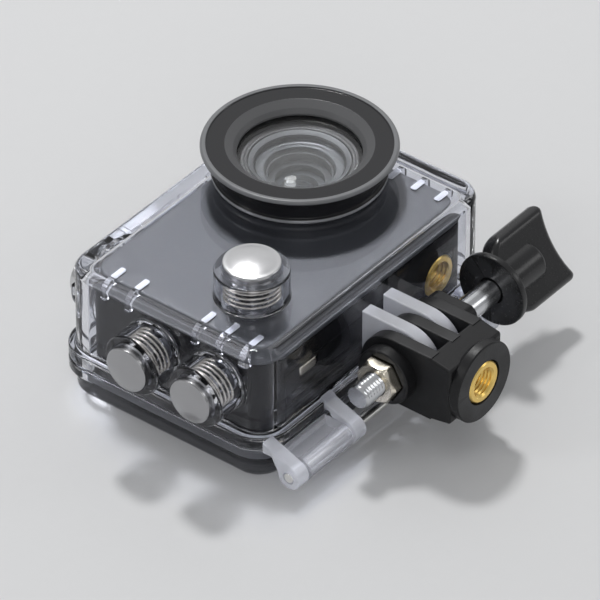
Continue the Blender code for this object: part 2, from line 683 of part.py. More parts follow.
def lens_port(gloss_black, glass, rubber):
    """Drum, sealed window and screwed-on bezel in front of the camera's lens."""
    place = Matrix.Translation((LENS_X, LENS_Y, FRONT_Z))
    spigot = PORT_BORE + PORT_SPIGOT
    drum = [
        (spigot, -WALL),
        (spigot, GAP),
        (DRUM_R, GAP),
        (DRUM_R, DRUM_HEIGHT),
        (WINDOW_R + GAP, DRUM_HEIGHT),
        (WINDOW_R + GAP, DRUM_SEAT),
        (PORT_BORE, DRUM_SEAT),
        (PORT_BORE, -WALL),
    ]
    turned("port_drum", drum, gloss_black, place, FINE, closed=True)
    seal_low = DRUM_SEAT + GAP
    seal = [(WINDOW_R, seal_low), (WINDOW_R, seal_low + SEAL_THICK)]
    seal += [(PORT_BORE + GAP, seal_low + SEAL_THICK), (PORT_BORE + GAP, seal_low)]
    turned("port_seal", seal, rubber, place, ROUND, closed=True)
    pane = [(WINDOW_R, DRUM_HEIGHT - WINDOW_THICK), (WINDOW_R, DRUM_HEIGHT)]
    turned("port_window", pane, glass, place, FINE)
    under = DRUM_HEIGHT + GAP
    top = BEZEL_HEIGHT
    band = top - BEZEL_STEP
    lip = PORT_BORE - GAP
    bezel = [
        (SLEEVE_R, GAP),
        (PORT_R, GAP),
        (PORT_R + BEZEL_FLARE / 8, top * 0.45),
        (PORT_R + BEZEL_FLARE / 2, top * 0.72),
        (BEZEL_R, top - BEZEL_RIM / 2),
        (BEZEL_R - BEZEL_RIM / 3, top),
        (BEZEL_R - BEZEL_RIM + BEZEL_STEP, top),
        (BEZEL_R - BEZEL_RIM, band),
        (BAND_R, band),
        (lip, under + BEZEL_RIM / 3),
        (lip, under),
        (SLEEVE_R, under),
    ]
    turned("port_bezel", bezel, gloss_black, place, FINE, closed=True)


def camera_lens(gloss_black, glass, silicon):
    place = Matrix.Translation((LENS_X, LENS_Y, 0))
    top = FACE_Z + LENS_REACH
    glass_seat = top - GLASS_DOME - GLASS_EDGE
    low = BOARD_TOP + SENSOR_THICK + 2 * GAP
    barrel = [
        (LENS_BODY_R, low),
        (LENS_BODY_R, FACE_Z + GAP),
        (LENS_R, FACE_Z + GAP),
        (LENS_R, top - CAMERA_EDGE),
        (LENS_R - CAMERA_EDGE, top),
        (GLASS_R + GAP + CAMERA_EDGE, top),
        (GLASS_R + GAP, top - CAMERA_EDGE),
        (GLASS_R + GAP, glass_seat - GAP),
        (LENS_BORE, glass_seat - GAP),
        (LENS_BORE, low),
    ]
    turned("lens_barrel", barrel, gloss_black, place, ROUND, closed=True)
    dome = [(GLASS_R, glass_seat), (GLASS_R, glass_seat + GLASS_EDGE)]
    for step in range(1, 6):
        angle = math.radians(80 * step / 5)
        dome.append((GLASS_R * math.cos(angle), glass_seat + GLASS_EDGE + GLASS_DOME * math.sin(angle)))
    turned("lens_front_glass", dome, glass, place, ROUND)
    cell_r = LENS_BORE - GAP
    cell_low = low + GAP
    cell_top = glass_seat - 2 * GAP - CAMERA_EDGE
    throat = cell_r / 3
    rings = [(cell_r, cell_low), (cell_r, cell_top)]
    for step in range(1, 4):
        inward = cell_r - CAMERA_EDGE - (cell_r - CAMERA_EDGE - throat) * step / 3
        sunk = cell_top - CAMERA_WALL * step
        rings += [(inward + CAMERA_WALL, sunk + CAMERA_WALL), (inward + CAMERA_WALL, sunk)]
    rings += [(throat, sunk), (throat, cell_low)]
    turned("lens_cell", rings, gloss_black, place, MEDIUM, closed=True)
    half = SENSOR / 2
    corner = (LENS_X + half, LENS_Y + half, BOARD_TOP + GAP + SENSOR_THICK)
    block("image_sensor", (LENS_X - half, LENS_Y - half, BOARD_TOP + GAP), corner, silicon)


def camera_body(buttons, black, grey, screen_glass):
    half_w = CAMERA_WIDTH / 2
    half_h = CAMERA_HEIGHT / 2
    low = BACK_Z + CAMERA_WALL
    high = FACE_Z - CAMERA_WALL
    ring = [(0, low + GAP), (0, high - GAP), (CAMERA_WALL, high - GAP), (CAMERA_WALL, low + GAP)]
    frame = stacked("camera_frame", half_w, half_h, CAMERA_CORNER, ring, black, closed=True)
    front, *others = buttons
    cut(frame, *[button.key_hole() for button in others])
    lens = Matrix.Translation((LENS_X, LENS_Y, 0))
    face_levels = [(0, high), *fillet(0, FACE_Z, CAMERA_EDGE, 1)]
    face = stacked("camera_face", half_w, half_h, CAMERA_CORNER, face_levels, grey)
    lens_hole = rod("lens_hole", LENS_BODY_R + GAP, high - PAST, FACE_Z + PAST, lens, steps=ROUND)
    cut(face, lens_hole, front.key_hole())
    back_levels = [(0, low), *fillet(0, BACK_Z, CAMERA_EDGE, -1)]
    back = stacked("camera_back", half_w, half_h, CAMERA_CORNER, back_levels, black)
    wide = DISPLAY_WIDTH / 2
    tall = DISPLAY_HEIGHT / 2
    opening = (wide + GAP, tall + GAP, low + PAST)
    cut(back, block("display_opening", (-wide - GAP, -tall - GAP, BACK_Z - PAST), opening))
    block("display", (-wide, -tall, BACK_Z + DISPLAY_SUNK), (wide, tall, SCREEN_TOP), screen_glass)
    return frame


def camera_bottom(frame, black, steel, brass, wrap):
    """Battery door with its catch, and the tripod nut, in the frame's bottom wall."""
    floor = -CAMERA_HEIGHT / 2
    inside = floor + CAMERA_WALL
    low = (BATTERY_LEFT, floor, BATTERY_LOW)
    high = (BATTERY_RIGHT, inside, BATTERY_HIGH)
    opening_low = (low[0] - GAP, floor - PAST, low[2] - GAP)
    opening_high = (high[0] + GAP, inside + PAST, high[2] + GAP)
    door = block("battery_door", low, high, black)
    pitch = (BATTERY_HIGH - BATTERY_LOW) / (GRIP_RIBS + 3)
    grooves = []
    for row in range(GRIP_RIBS):
        z = BATTERY_LOW + pitch * (row + 1)
        groove_high = (high[0] - PAST, floor + CAMERA_WALL / 3, z + pitch / 3)
        grooves.append(((low[0] + PAST, floor - PAST, z), groove_high))
    catch_x = BATTERY_LEFT + CATCH_FROM_LEFT
    catch_z = BATTERY_HIGH - pitch
    seat = CAMERA_WALL / 2
    catch_low = (catch_x - CATCH_LENGTH / 2, floor, catch_z - CATCH_WIDTH / 2)
    catch_high = (catch_x + CATCH_LENGTH / 2, floor + seat - GAP, catch_z + CATCH_WIDTH / 2)
    grooves.append((
        (catch_low[0] - GAP, floor - PAST, catch_low[2] - GAP),
        (catch_high[0] + GAP, floor + seat, catch_high[2] + GAP),
    ))
    cut(door, blocks("door_grooves", grooves))
    block("door_catch", catch_low, catch_high, steel)
    axis = Matrix.Translation((CAMERA_WIDTH / 2 - TRIPOD_FROM_RIGHT, floor, TRIPOD_Z)) @ ALONG_Y
    nut = [(TRIPOD_NUT_R, 0), (TRIPOD_NUT_R, TRIPOD_NUT_DEPTH), (THREAD_R, TRIPOD_NUT_DEPTH), (THREAD_R, 0)]
    turned("tripod_nut", nut, brass, axis, closed=True)
    hole = rod("tripod_hole", TRIPOD_NUT_R + GAP, -PAST, CAMERA_WALL + PAST, axis)
    cut(frame, block("battery_opening", opening_low, opening_high), hole)
    block("battery", (low[0], inside + GAP, low[2]), (high[0], BATTERY_TOP, high[2]), wrap)


def camera_inside(frame, board, steel, black):
    """Boards, connectors and memory card."""
    left = BATTERY_RIGHT + BAY_SPACE
    right = INSIDE_W - BAY_SPACE
    tall = INSIDE_H - BAY_SPACE
    block("main_board", (left, -tall, BOARD_TOP - BOARD), (right, tall, BOARD_TOP), board)
    key_low = (BATTERY_LEFT, -tall, KEY_BOARD_TOP - BOARD)
    block("key_board", key_low, (BATTERY_RIGHT, BATTERY_TOP, KEY_BOARD_TOP), board)
    side = CAMERA_WIDTH / 2
    card_low = (side - GAP - CARD_LENGTH, -CAMERA_HEIGHT / 2 + CAMERA_CORNER, CARD_LOW)
    card_high = (side - GAP, card_low[1] + CARD_WIDTH, CARD_LOW + CARD_THICK)
    block("memory_card", card_low, card_high, black)
    low = (side - CONNECTOR_DEPTH, card_high[1] + BAY_SPACE, BOARD_TOP + GAP)
    high = (side - GAP, low[1] + CONNECTOR_WIDTH, low[2] + CONNECTOR_HEIGHT)
    plug = block("connector_block", low, high, steel)
    lip = CONNECTOR_LIP
    middle = (low[1] + high[1]) / 2
    depth = high[0] - CONNECTOR_DEPTH / 2
    mouths = []
    for near, far in ((low[1] + lip, middle - lip), (middle + lip, high[1] - lip)):
        mouths.append(((depth, near, low[2] + lip), (high[0] + PAST, far, high[2] - lip)))
    cut(plug, blocks("connector_mouths", mouths))
    openings = []
    for piece_low, piece_high in ((low, high), (card_low, card_high)):
        openings.append((
            (INSIDE_W - PAST, piece_low[1] - GAP, piece_low[2] - GAP),
            (side + PAST, piece_high[1] + GAP, piece_high[2] + GAP),
        ))
    cut(frame, blocks("side_openings", openings))


def mount_adapter(black):
    """Three leaves that interleave with the housing's prongs, on a body with a tripod foot."""
    axis = Matrix.Translation((0, MOUNT_Y, MOUNT_Z)) @ ALONG_X
    outward = Matrix.Translation((0, MOUNT_Y, MOUNT_Z)) @ ALONG_Y
    leaf_r = PRONG_R - GAP
    root = MOUNT_Y - ADAPTER_START
    body = [
        (root, MOUNT_Z - leaf_r),
        (root, MOUNT_Z + leaf_r),
        (root - ADAPTER_BODY - ROOT, MOUNT_Z + leaf_r - ROOT),
        (root - ADAPTER_BODY - ROOT, MOUNT_Z - leaf_r + ROOT),
    ]
    adapter = prism("mount_adapter", body, -LEAF_OUTER, LEAF_OUTER, black, ALONG_X)
    leaf = tongue(root - ROOT, MOUNT_Z - leaf_r, MOUNT_Z + leaf_r, (MOUNT_Y, MOUNT_Z), leaf_r)
    middle = PRONG_PITCH / 2 - PRONG_THICK / 2 - GAP
    inner = LEAF_OUTER - ADAPTER_LEAF
    for place, (low, high) in enumerate(((-LEAF_OUTER, -inner), (-middle, middle), (inner, LEAF_OUTER))):
        add(adapter, prism(f"leaf_{place}", leaf, low, high, None, ALONG_X))
    foot_low = ADAPTER_END - ADAPTER_FOOT
    bevel = ADAPTER_FOOT / 3
    foot = [(FOOT_R, -ADAPTER_END), (FOOT_R, -foot_low - bevel), (FOOT_R - bevel, -foot_low)]
    block_end = LEAF_OUTER + BLOCK_LENGTH
    block_loops = [
        rounded_rectangle(BLOCK_HALF - inset, BLOCK_HALF - inset, BLOCK_CORNER - inset, x)
        for inset, x in ((0, LEAF_OUTER - ROOT), (0, block_end - BLOCK_EDGE), (BLOCK_EDGE, block_end))
    ]
    boss = [(BOSS_R, -LEAF_OUTER + ROOT), (BOSS_R, -LEAF_OUTER - BOSS_LENGTH)]
    add(
        adapter,
        turned("foot", foot, None, outward, FINE),
        loft("screw_block", block_loops, None, axis),
        turned("nut_boss", boss, None, axis),
    )
    pocket_floor = -LEAF_OUTER - BOSS_LENGTH + NUT_SUNK + GAP
    hollow = hexagon(NUT_ACROSS / 2 + GAP)
    insert_low = -ADAPTER_END + INSERT_DEPTH + GAP
    cut(
        adapter,
        rod("adapter_bore", SCREW_R + GAP, -HALF_W, HALF_W, axis),
        prism("nut_pocket", hollow, pocket_floor - NUT_THICK, pocket_floor, None, axis),
        rod("insert_bore", INSERT_R + GAP, -ADAPTER_END - PAST, insert_low, outward),
    )
    return adapter


def hexagon(half_across):
    """Points of a hexagon at even angles, so that it pairs with a circle of as many points."""
    points = []
    for step in range(MEDIUM):
        angle = 2 * math.pi * step / MEDIUM
        radius = half_across / math.cos(angle % (math.pi / 3) - math.pi / 6)
        points.append((radius * math.cos(angle), radius * math.sin(angle)))
    return points


def mount_hardware(steel, brass):
    axis = Matrix.Translation((0, MOUNT_Y, MOUNT_Z)) @ ALONG_X
    outward = Matrix.Translation((0, MOUNT_Y, MOUNT_Z)) @ ALONG_Y
    inner = -NUT_OUTER + NUT_THICK
    circle = arc((0, 0), SCREW_R + GAP, 0, 360, MEDIUM)[:-1]
    loops = [
        [(*point, inner) for point in hexagon(NUT_ACROSS / 2)],
        [(*point, -NUT_OUTER) for point in hexagon(NUT_ACROSS / 2)],
        [(*point, -NUT_OUTER) for point in circle],
        [(*point, inner) for point in circle],
    ]
    nut = loft("adapter_nut", loops, steel, axis, closed=True)
    tube = [(INSERT_R, -ADAPTER_END), (INSERT_R, -ADAPTER_END + INSERT_DEPTH)]
    tube += [(THREAD_R, -ADAPTER_END + INSERT_DEPTH), (THREAD_R, -ADAPTER_END)]
    insert = turned("adapter_insert", tube, brass, outward, closed=True)
    return [nut, insert]


def wing_sections(root):
    """Sections of the knob's wing from tip to tip: the root curves back to the tips, the end dips between."""
    loops = []
    half = KNOB_WING_THICK / 2
    edge = half / 2
    for share in (-1.0, -0.88, -0.6, -0.3, 0.0, 0.3, 0.6, 0.88, 1.0):
        at_tip = abs(share) == 1.0
        low = root + KNOB_SHOULDER * share ** 2 + (edge if at_tip else 0)
        high = root + KNOB_WING - KNOB_NOTCH * (1 - share ** 2) - (edge if at_tip else 0)
        thick = half - edge if at_tip else half
        section = [(low, edge - thick), (low + edge, -thick), (high - edge, -thick), (high, edge - thick)]
        section += [(high, thick - edge), (high - edge, thick), (low + edge, thick), (low, thick - edge)]
        loops.append([(across, KNOB_WING_HALF * share, along) for along, across in section])
    return loops


def thumb_screw(black, steel):
    """The long screw and its knob: a flange, a hub and a two-tipped wing."""
    axis = Matrix.Translation((0, MOUNT_Y, MOUNT_Z)) @ ALONG_X
    chamfer = SCREW_R / 4
    profile = [
        (SCREW_R - chamfer, SCREW_LOW),
        (SCREW_R, SCREW_LOW + chamfer),
        (SCREW_R, SCREW_LOW + SCREW_LENGTH),
    ]
    shaft = turned("screw_shaft", profile, steel, axis, COARSE)
    root = KNOB_X + KNOB_FLANGE
    hub = [
        (KNOB_FLANGE_R, KNOB_X),
        (KNOB_FLANGE_R, root),
        (KNOB_HUB_R, root),
        (KNOB_HUB_R, root + KNOB_HUB - KNOB_HUB_R / 2),
        (KNOB_HUB_R / 2, root + KNOB_HUB),
    ]
    knob = turned("thumb_knob", hub, black, axis)
    add(knob, loft("knob_wing", wing_sections(root - ROOT), None, axis))
    cut(knob, rod("knob_seat", SCREW_R + GAP, KNOB_X - PAST, KNOB_X + KNOB_SEAT + GAP, axis, steps=COARSE))
    on_axis("thumb_screw_axis", (0, MOUNT_Y, MOUNT_Z), [shaft, knob], KNOB_TURN)


def main():
    clear_scene()
    clear = finish("clear polycarbonate", (0.80, 0.84, 0.92), 0.06, 0.0, 0.25)
    glass = finish("port glass", (0.75, 0.80, 0.85), 0.03, 0.0, 0.3)
    gloss_black = finish("gloss black", (0.012, 0.012, 0.014), 0.12)
    satin_black = finish("satin black", (0.02, 0.02, 0.022), 0.42)
    face_grey = finish("face grey", (0.18, 0.19, 0.21), 0.38)
    key_grey = finish("key grey", (0.10, 0.10, 0.11), 0.40)
    rubber = finish("seal rubber", (0.03, 0.03, 0.03), 0.75)
    silicone = finish("pale silicone", (0.80, 0.82, 0.84), 0.55)
    chrome = finish("chrome", (0.85, 0.86, 0.88), 0.08, 1.0)
    steel = finish("steel", (0.62, 0.63, 0.65), 0.25, 1.0)
    brass = finish("brass", (0.78, 0.57, 0.24), 0.28, 1.0)
    board = finish("green board", (0.03, 0.16, 0.07), 0.45)
    silicon = finish("sensor", (0.10, 0.08, 0.16), 0.20)
    screen = finish("screen glass", (0.01, 0.01, 0.015), 0.06)

    buttons = make_buttons()
    housing_shell(clear, buttons)
    door = rear_door(clear)
    on_axis("door_axis", (0, HINGE_Y, HINGE_Z), [door, door_gasket(silicone)])
    housing_pins(steel)
    latch_lever(clear)
    lens_port(gloss_black, glass, rubber)
    for button in buttons:
        button.build(chrome, steel, rubber, key_grey)
    camera_lens(gloss_black, glass, silicon)
    frame = camera_body(buttons, satin_black, face_grey, screen)
    camera_bottom(frame, satin_black, steel, brass, finish("battery wrap", (0.03, 0.035, 0.05), 0.45))
    camera_inside(frame, board, steel, satin_black)
    on_axis("mount_axis", (0, MOUNT_Y, MOUNT_Z), [mount_adapter(satin_black), *mount_hardware(steel, brass)])
    thumb_screw(satin_black, steel)


main()
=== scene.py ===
"""Looks of an action camera in its clear dive housing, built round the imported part."""

import json
import math

import bmesh
import bpy
from mathutils import Matrix, Vector


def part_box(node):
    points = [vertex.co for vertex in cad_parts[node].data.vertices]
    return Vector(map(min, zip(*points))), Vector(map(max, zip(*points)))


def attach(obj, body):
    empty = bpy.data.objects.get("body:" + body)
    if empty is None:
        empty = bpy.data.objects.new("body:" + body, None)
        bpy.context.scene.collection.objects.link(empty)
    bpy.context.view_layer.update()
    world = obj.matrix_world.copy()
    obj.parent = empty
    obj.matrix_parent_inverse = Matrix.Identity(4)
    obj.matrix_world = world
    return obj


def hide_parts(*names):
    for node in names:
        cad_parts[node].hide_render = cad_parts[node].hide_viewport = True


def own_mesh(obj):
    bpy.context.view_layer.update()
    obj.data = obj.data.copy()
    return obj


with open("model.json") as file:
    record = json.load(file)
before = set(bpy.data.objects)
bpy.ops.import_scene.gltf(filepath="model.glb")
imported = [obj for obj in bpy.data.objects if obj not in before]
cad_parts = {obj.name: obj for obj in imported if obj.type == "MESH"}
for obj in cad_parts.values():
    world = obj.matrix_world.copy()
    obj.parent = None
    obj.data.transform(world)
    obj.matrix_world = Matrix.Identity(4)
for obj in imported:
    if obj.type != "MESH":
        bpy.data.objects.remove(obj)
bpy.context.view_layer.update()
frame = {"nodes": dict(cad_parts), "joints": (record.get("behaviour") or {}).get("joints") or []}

MM = 0.001

# Clearances, as in the part
GAP = 0.3 * MM
ROOT = 1.0 * MM  # how deep a joined detail sinks into what carries it
PAST = 2.0 * MM  # how far a cut runs past a wall

# Roundings of edges that have no value of their own
TINY_ROUND = 0.1 * MM
FINE_ROUND = 0.2 * MM
LIGHT_ROUND = 0.3 * MM
SMALL_ROUND = 0.35 * MM
SOFT_ROUND = 0.5 * MM

# Housing
WALL = 2.8 * MM
DOOR_WALL = 2.6 * MM
SHAKE = 0.6 * MM
SIDE_ROOM = 1.55 * MM
END_ROOM = 0.5 * MM
HOUSING_CORNER = 5.5 * MM
EDGE_ROUND = 1.7 * MM
INNER_ROUND = 0.9 * MM
RIM_REACH = 1.5 * MM
RIM_THICK = 2.5 * MM
RIM_CREASE = 0.6 * MM
RIB_THICK = 1.1 * MM
RIB_DEPTH = 2.4 * MM
RIB_HEIGHTS = (9.6 * MM, 15.3 * MM, -6.2 * MM, -11.8 * MM, -17.4 * MM)
RIB_PLACES = [(side, height) for side in (-1, 1) for height in RIB_HEIGHTS]
PAD_REACH = 3.3 * MM
PAD_WIDTH = 1.35 * MM
ROOT_TOUCH = 0.05 * MM  # how far a piece of its own sinks into the wall that carries it
RIB_SEAM = 0.03 * MM  # air between the ribs and the polished wall behind them
HINGE_R = 2.5 * MM
LUG_WIDTH = 3.2 * MM
LUG_SLOPE = 22.0
LEFT_BARREL_LENGTH = 13.4 * MM
RIGHT_BARREL_LENGTH = 8.4 * MM
LATCH_HALF = 8.0 * MM
LATCH_EYE_R = 2.4 * MM
LATCH_TOE = 1.3 * MM
LATCH_TOE_THICK = 1.5 * MM
LATCH_ROUND = 0.4 * MM
LATCH_SWEEP = 2.0 * MM  # rounding where the arm runs out into the tab
RIDGES = 4
RIDGE_START = 2.2 * MM
RIDGE_PITCH = 1.4 * MM
RIDGE_INSET = 1.5 * MM
RIDGE_TAPER = 0.3 * MM
RIDGE_R = 0.45 * MM
RIDGE_TIP_R = 0.2 * MM
EAR_THICK = 2.6 * MM
LIP_REACH = 3.35 * MM
LIP_THICK = 2.7 * MM
GASKET_GROOVE = (0.6 * MM, 2.2 * MM)  # insets of its two sides
GASKET_GROOVE_DEPTH = 1.8 * MM

# Lens port and lens
PORT_CLEAR = 1.0 * MM
PORT_SPIGOT = 1.0 * MM
WINDOW_ROUND = 0.25 * MM
BEZEL_WALL = 1.2 * MM
BEZEL_BEAD = 0.5 * MM
BEZEL_RIM = 1.4 * MM
BEZEL_BAND = 3.4 * MM
BEZEL_STEP = 0.25 * MM
FLARE_KNEE = (0.125, 0.45)  # shares of the flare's width and of the bezel's height
FLARE_SHOULDER = (0.5, 0.72)
FUNNEL_BEND = (0.7, 0.55)  # shares of the funnel's width and depth
GLASS_EDGE = 1.0 * MM
GLASS_LEDGE = 1.8 * MM
LENS_RIM = 2.8 * MM
LENS_WALL = 1.6 * MM
LENS_ROUND = 0.18 * MM
LENS_LIP = 0.5 * MM  # width of the lens ring's raised outer edge
LENS_STEP = 0.25 * MM  # its height over the ring
TRIM_WIDTH = 1.0 * MM  # of the metal ring round the front glass
TRIM_DEPTH = 0.95 * MM
TRIM_ROUND = 0.04 * MM
CELL_STEPS = 3
CELL_DROP = 1.5 * MM
CELL_EDGE = 0.4 * MM
CELL_ROUND = 0.08 * MM
DEEP_EDGE = 0.4 * MM
DEEP_RISE = 0.6 * MM
SECOND_GLASS_INSET = 1.3 * MM
THIRD_GLASS_OVER = 0.2 * MM
THIRD_GLASS_DROPS = 2.1

# Buttons: outward direction, and the collar's height over the wall
BUTTONS = {
    "front": ((0, 0, 1), 6.2 * MM),
    "top": ((0, 1, 0), 5.4 * MM),
    "lower": ((-1, 0, 0), 6.4 * MM),
    "upper": ((-1, 0, 0), 6.4 * MM),
}
COLLAR_WALL = 1.4 * MM
COLLAR_FLARE = 0.8 * MM
COLLAR_FOOT = 0.02 * MM
COLLAR_ROUND = 0.45 * MM
CAP_PROUD = 1.6 * MM
CAP_THICK = 2.6 * MM
CAP_DOME = 0.7 * MM
CAP_EDGE = 0.5 * MM
CAP_ROUND = 0.55 * MM
CAP_STEP = 0.02 * MM
STEM_R = 1.9 * MM
CLIP_R = 3.3 * MM
CLIP_RECESS = 1.6 * MM
CLIP_THICK = 0.6 * MM
CLIP_NECK = 0.7 * MM
SPRING_WIRE = 0.25 * MM
SPRING_PITCH = 1.05 * MM

# Camera's connectors
CONNECTOR_FRONT = 0.5 * MM  # depth at which the black inserts begin

# Mount
PRONG_PITCH = 6.4 * MM
PRONG_THICK = 3.0 * MM
PRONG_R = 7.5 * MM
ADAPTER_LEAF = 2.8 * MM
ADAPTER_BODY = 4.6 * MM
ADAPTER_ROUND = 0.6 * MM
ADAPTER_FOOT = 3.0 * MM
FOOT_R = 8.2 * MM
BOSS_R = 5.8 * MM
BOSS_LENGTH = 2.7 * MM
BLOCK_LENGTH = 4.2 * MM
BLOCK_HALF = 5.2 * MM
BLOCK_CORNER = 2.0 * MM
SCREW_R = 2.5 * MM
SCREW_TAPER = 0.35 * MM
SCREW_TAPER_LENGTH = 0.6 * MM
THREAD_PITCH = 0.8 * MM
THREAD_DEPTH = 0.4 * MM
THREAD_RUNOUT = 1.2 * MM
THREAD_PAST_NUT = 6.0 * MM
NUT_ACROSS = 8.0 * MM
NUT_CHAMFER = 0.7 * MM
NUT_FACE_INSET = 0.1 * MM
INSERT_R = 4.3 * MM
INSERT_BORE = 2.7 * MM
INSERT_DEPTH = 6.0 * MM
INSERT_CHAMFER = 0.3 * MM
KNOB_FLANGE_R = 7.6 * MM
KNOB_FLANGE = 1.4 * MM
KNOB_HUB_R = 4.2 * MM
KNOB_HUB = 12.5 * MM
KNOB_CREASE = 0.8 * MM
KNOB_END_ROUND = 1.0 * MM
KNOB_WING = 19.5 * MM
KNOB_WING_HALF = 8.2 * MM
KNOB_WING_THICK = 4.4 * MM
KNOB_SHOULDER = 5.0 * MM
KNOB_NOTCH = 1.8 * MM
KNOB_SEAT = 9.0 * MM
KNOB_TURN = -35.0
WING_FULL = 0.80  # share of the wing's half width that keeps its full thickness
WING_TIP_INSET = 0.9
WING_CORNER = 0.75
WING_LEAST = 0.25 * MM

# Fineness
CORNER_STEPS = 12
ROUND_STEPS = 4
FINE = 96
MEDIUM = 48
LUG_STEPS = 40
BARREL_STEPS = 36
EAR_STEPS = 28
LATCH_EYE_STEPS = 24
RIDGE_STEPS = 20
WIRE_STEPS = 10
SPRING_POINTS = 28
DOME_STEPS = 14
GLASS_STEPS = 16
WING_STEPS = 40
THREAD_ROWS = 8
AXIS_R = 1.0 * MM  # innermost ring of a solid turned piece
SIDE_SHARE = 0.48  # most of a side that the rounding at one end takes
LEAST_ROUND = 0.01 * MM
LEAST_MITRE = 0.4
WELD = 0.002 * MM
SHARP_FROM = math.radians(32)
BEVEL_FROM = math.radians(40)

# Read from the frame
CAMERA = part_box("camera_frame")[1]
FACE_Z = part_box("camera_face")[1].z
INNER_Z = FACE_Z + SHAKE
FRONT_Z = INNER_Z + WALL
HALF_W = CAMERA.x + SIDE_ROOM + WALL
HALF_H = CAMERA.y + END_ROOM + WALL
DOOR_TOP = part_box("rear_door")[1].z
SPLIT_Z = DOOR_TOP + GAP
JOINTS = {joint["name"]: joint for joint in frame["joints"]}
HINGE, LATCH, MOUNT = [Vector(JOINTS[name]["pos_m"]) for name in ("door_hinge", "latch_hinge", "mount_pivot")]
HINGE_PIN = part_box("hinge_pin")
PIN_R = (HINGE_PIN[1].z - HINGE_PIN[0].z) / 2
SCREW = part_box("screw_shaft")
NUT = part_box("adapter_nut")
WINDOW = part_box("port_window")
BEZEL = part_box("port_bezel")
LENS = (WINDOW[0] + WINDOW[1]) / 2
BEZEL_R = (BEZEL[1].x - BEZEL[0].x) / 2
BAND_R = BEZEL_R - BEZEL_RIM - BEZEL_BAND
FRONT_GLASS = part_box("lens_front_glass")
GLASS_R = (FRONT_GLASS[1].x - FRONT_GLASS[0].x) / 2
LENS_R = GLASS_R + LENS_RIM
PORT_BORE = LENS_R + PORT_CLEAR
LIP_LOW = DOOR_TOP - RIM_THICK / 2 - LIP_THICK / 2
LATCH_AJAR = math.asin((LATCH_TOE + 2 * GAP) / (LATCH.z - LIP_LOW))
PRONG_OUTER = PRONG_PITCH / 2 + PRONG_THICK / 2
LEAF_OUTER = PRONG_OUTER + GAP + ADAPTER_LEAF
ADAPTER_START = PRONG_R + 2 * GAP
ADAPTER_END = ADAPTER_START + ADAPTER_BODY + ADAPTER_FOOT

# Local (u, v, w) onto the world, so that w runs along X or along Y
ALONG_X = Matrix(((0, 0, 1, 0), (1, 0, 0, 0), (0, 1, 0, 0), (0, 0, 0, 1)))
ALONG_Y = Matrix(((0, 1, 0, 0), (0, 0, 1, 0), (1, 0, 0, 0), (0, 0, 0, 1)))
LENS_AXIS = Matrix.Translation((LENS.x, LENS.y, 0))
SCREW_AXIS = Matrix.Translation(MOUNT) @ Matrix.Rotation(math.radians(KNOB_TURN), 4, "X") @ ALONG_X

# Camera, floor and lamps
VIEW_AZIMUTH = math.radians(-51.8)
VIEW_ELEVATION = math.radians(37.9)
VIEW_DISTANCE = 1.34
VIEW_HALF = 0.0565
VIEW_AIM = Vector((0.002, -0.004, 0.012))
VIEW_FAR = 50.0
SENSOR_WIDTH = 36.0
FLOOR_SIZE = 6.0
SKY_COLOUR = (0.98, 0.99, 1.0, 1)
SKY_STRENGTH = 0.42
LAMPS = {  # place, size in metres, power in watts
    "panel": ((0.78, 0.61, 0.77), 1.2, 1.0),
    "key": ((0.34, 0.41, 0.97), 0.15, 5.0),
    "fill": ((-0.90, -0.75, 0.65), 0.70, 2.0),
    "left_edge": ((-0.68, 0.54, 0.68), 0.25, 0.9),
    "near_edge": ((0.68, -0.68, 0.53), 0.34, 0.5),
}


def arc(centre, radius, start, end, steps):
    """Points of an arc, with its angles in degrees."""
    angles = [math.radians(start + (end - start) * step / steps) for step in range(steps + 1)]
    return [(centre[0] + radius * math.cos(a), centre[1] + radius * math.sin(a)) for a in angles]


def circle(radius, steps):
    """Points of a circle round the local axis."""
    return arc((0, 0), radius, 0, 360, steps)[:-1]


def level(points, z):
    """Sets flat points at one height."""
    return [(*point, z) for point in points]


def neighbours(points):
    """The points of a closed line, each with the one before and the one after it."""
    return zip(points[-1:] + points[:-1], points, points[1:] + points[:1])


def stairs(across, up, *moves, flat=False):
    """Points of square steps: the moves set the height and the way across by turns, across first if flat."""
    points = [(across, up)]
    for value in moves:
        across, up = (value, up) if flat else (across, value)
        flat = not flat
        points.append((across, up))
    return points


def softened(points, radii, closed=False):
    """Rounds the corners of a line of (across, up) points, each by its own radius."""
    points = [Vector(point) for point in points]
    if not hasattr(radii, "__len__"):
        radii = [radii] * len(points)
    corners = list(zip(neighbours(points), radii))
    line = [] if closed else [tuple(points[0])]
    for (before, here, after), radius in corners if closed else corners[1:-1]:
        into = before - here
        out = after - here
        turn = math.pi - into.angle(out)
        reach = min(radius * math.tan(turn / 2), SIDE_SHARE * into.length, SIDE_SHARE * out.length)
        if reach < LEAST_ROUND:
            line.append(tuple(here))
            continue
        first = here + into.normalized() * reach
        last = here + out.normalized() * reach
        weight = math.cos(turn / 2)
        for step in range(ROUND_STEPS + 1):
            t = step / ROUND_STEPS
            share = ((1 - t) ** 2, 2 * weight * t * (1 - t), t ** 2)
            line.append(tuple((first * share[0] + here * share[1] + last * share[2]) / sum(share)))
    return line if closed else line + [tuple(points[-1])]


def drawn_in(outline, distance):
    """Moves a closed outline inward by a distance."""
    points = [Vector(point) for point in outline]
    area = sum(a.x * b.y - b.x * a.y for a, b in zip(points, points[1:] + points[:1]))
    side = math.copysign(1, area)
    moved = []
    for before, here, after in neighbours(points):
        a = (here - before).normalized()
        b = (after - here).normalized()
        across = Vector((-a.y - b.y, a.x + b.x)) * side
        moved.append(tuple(here + across * (distance / max(LEAST_MITRE, 1 + a.dot(b)))))
    return moved


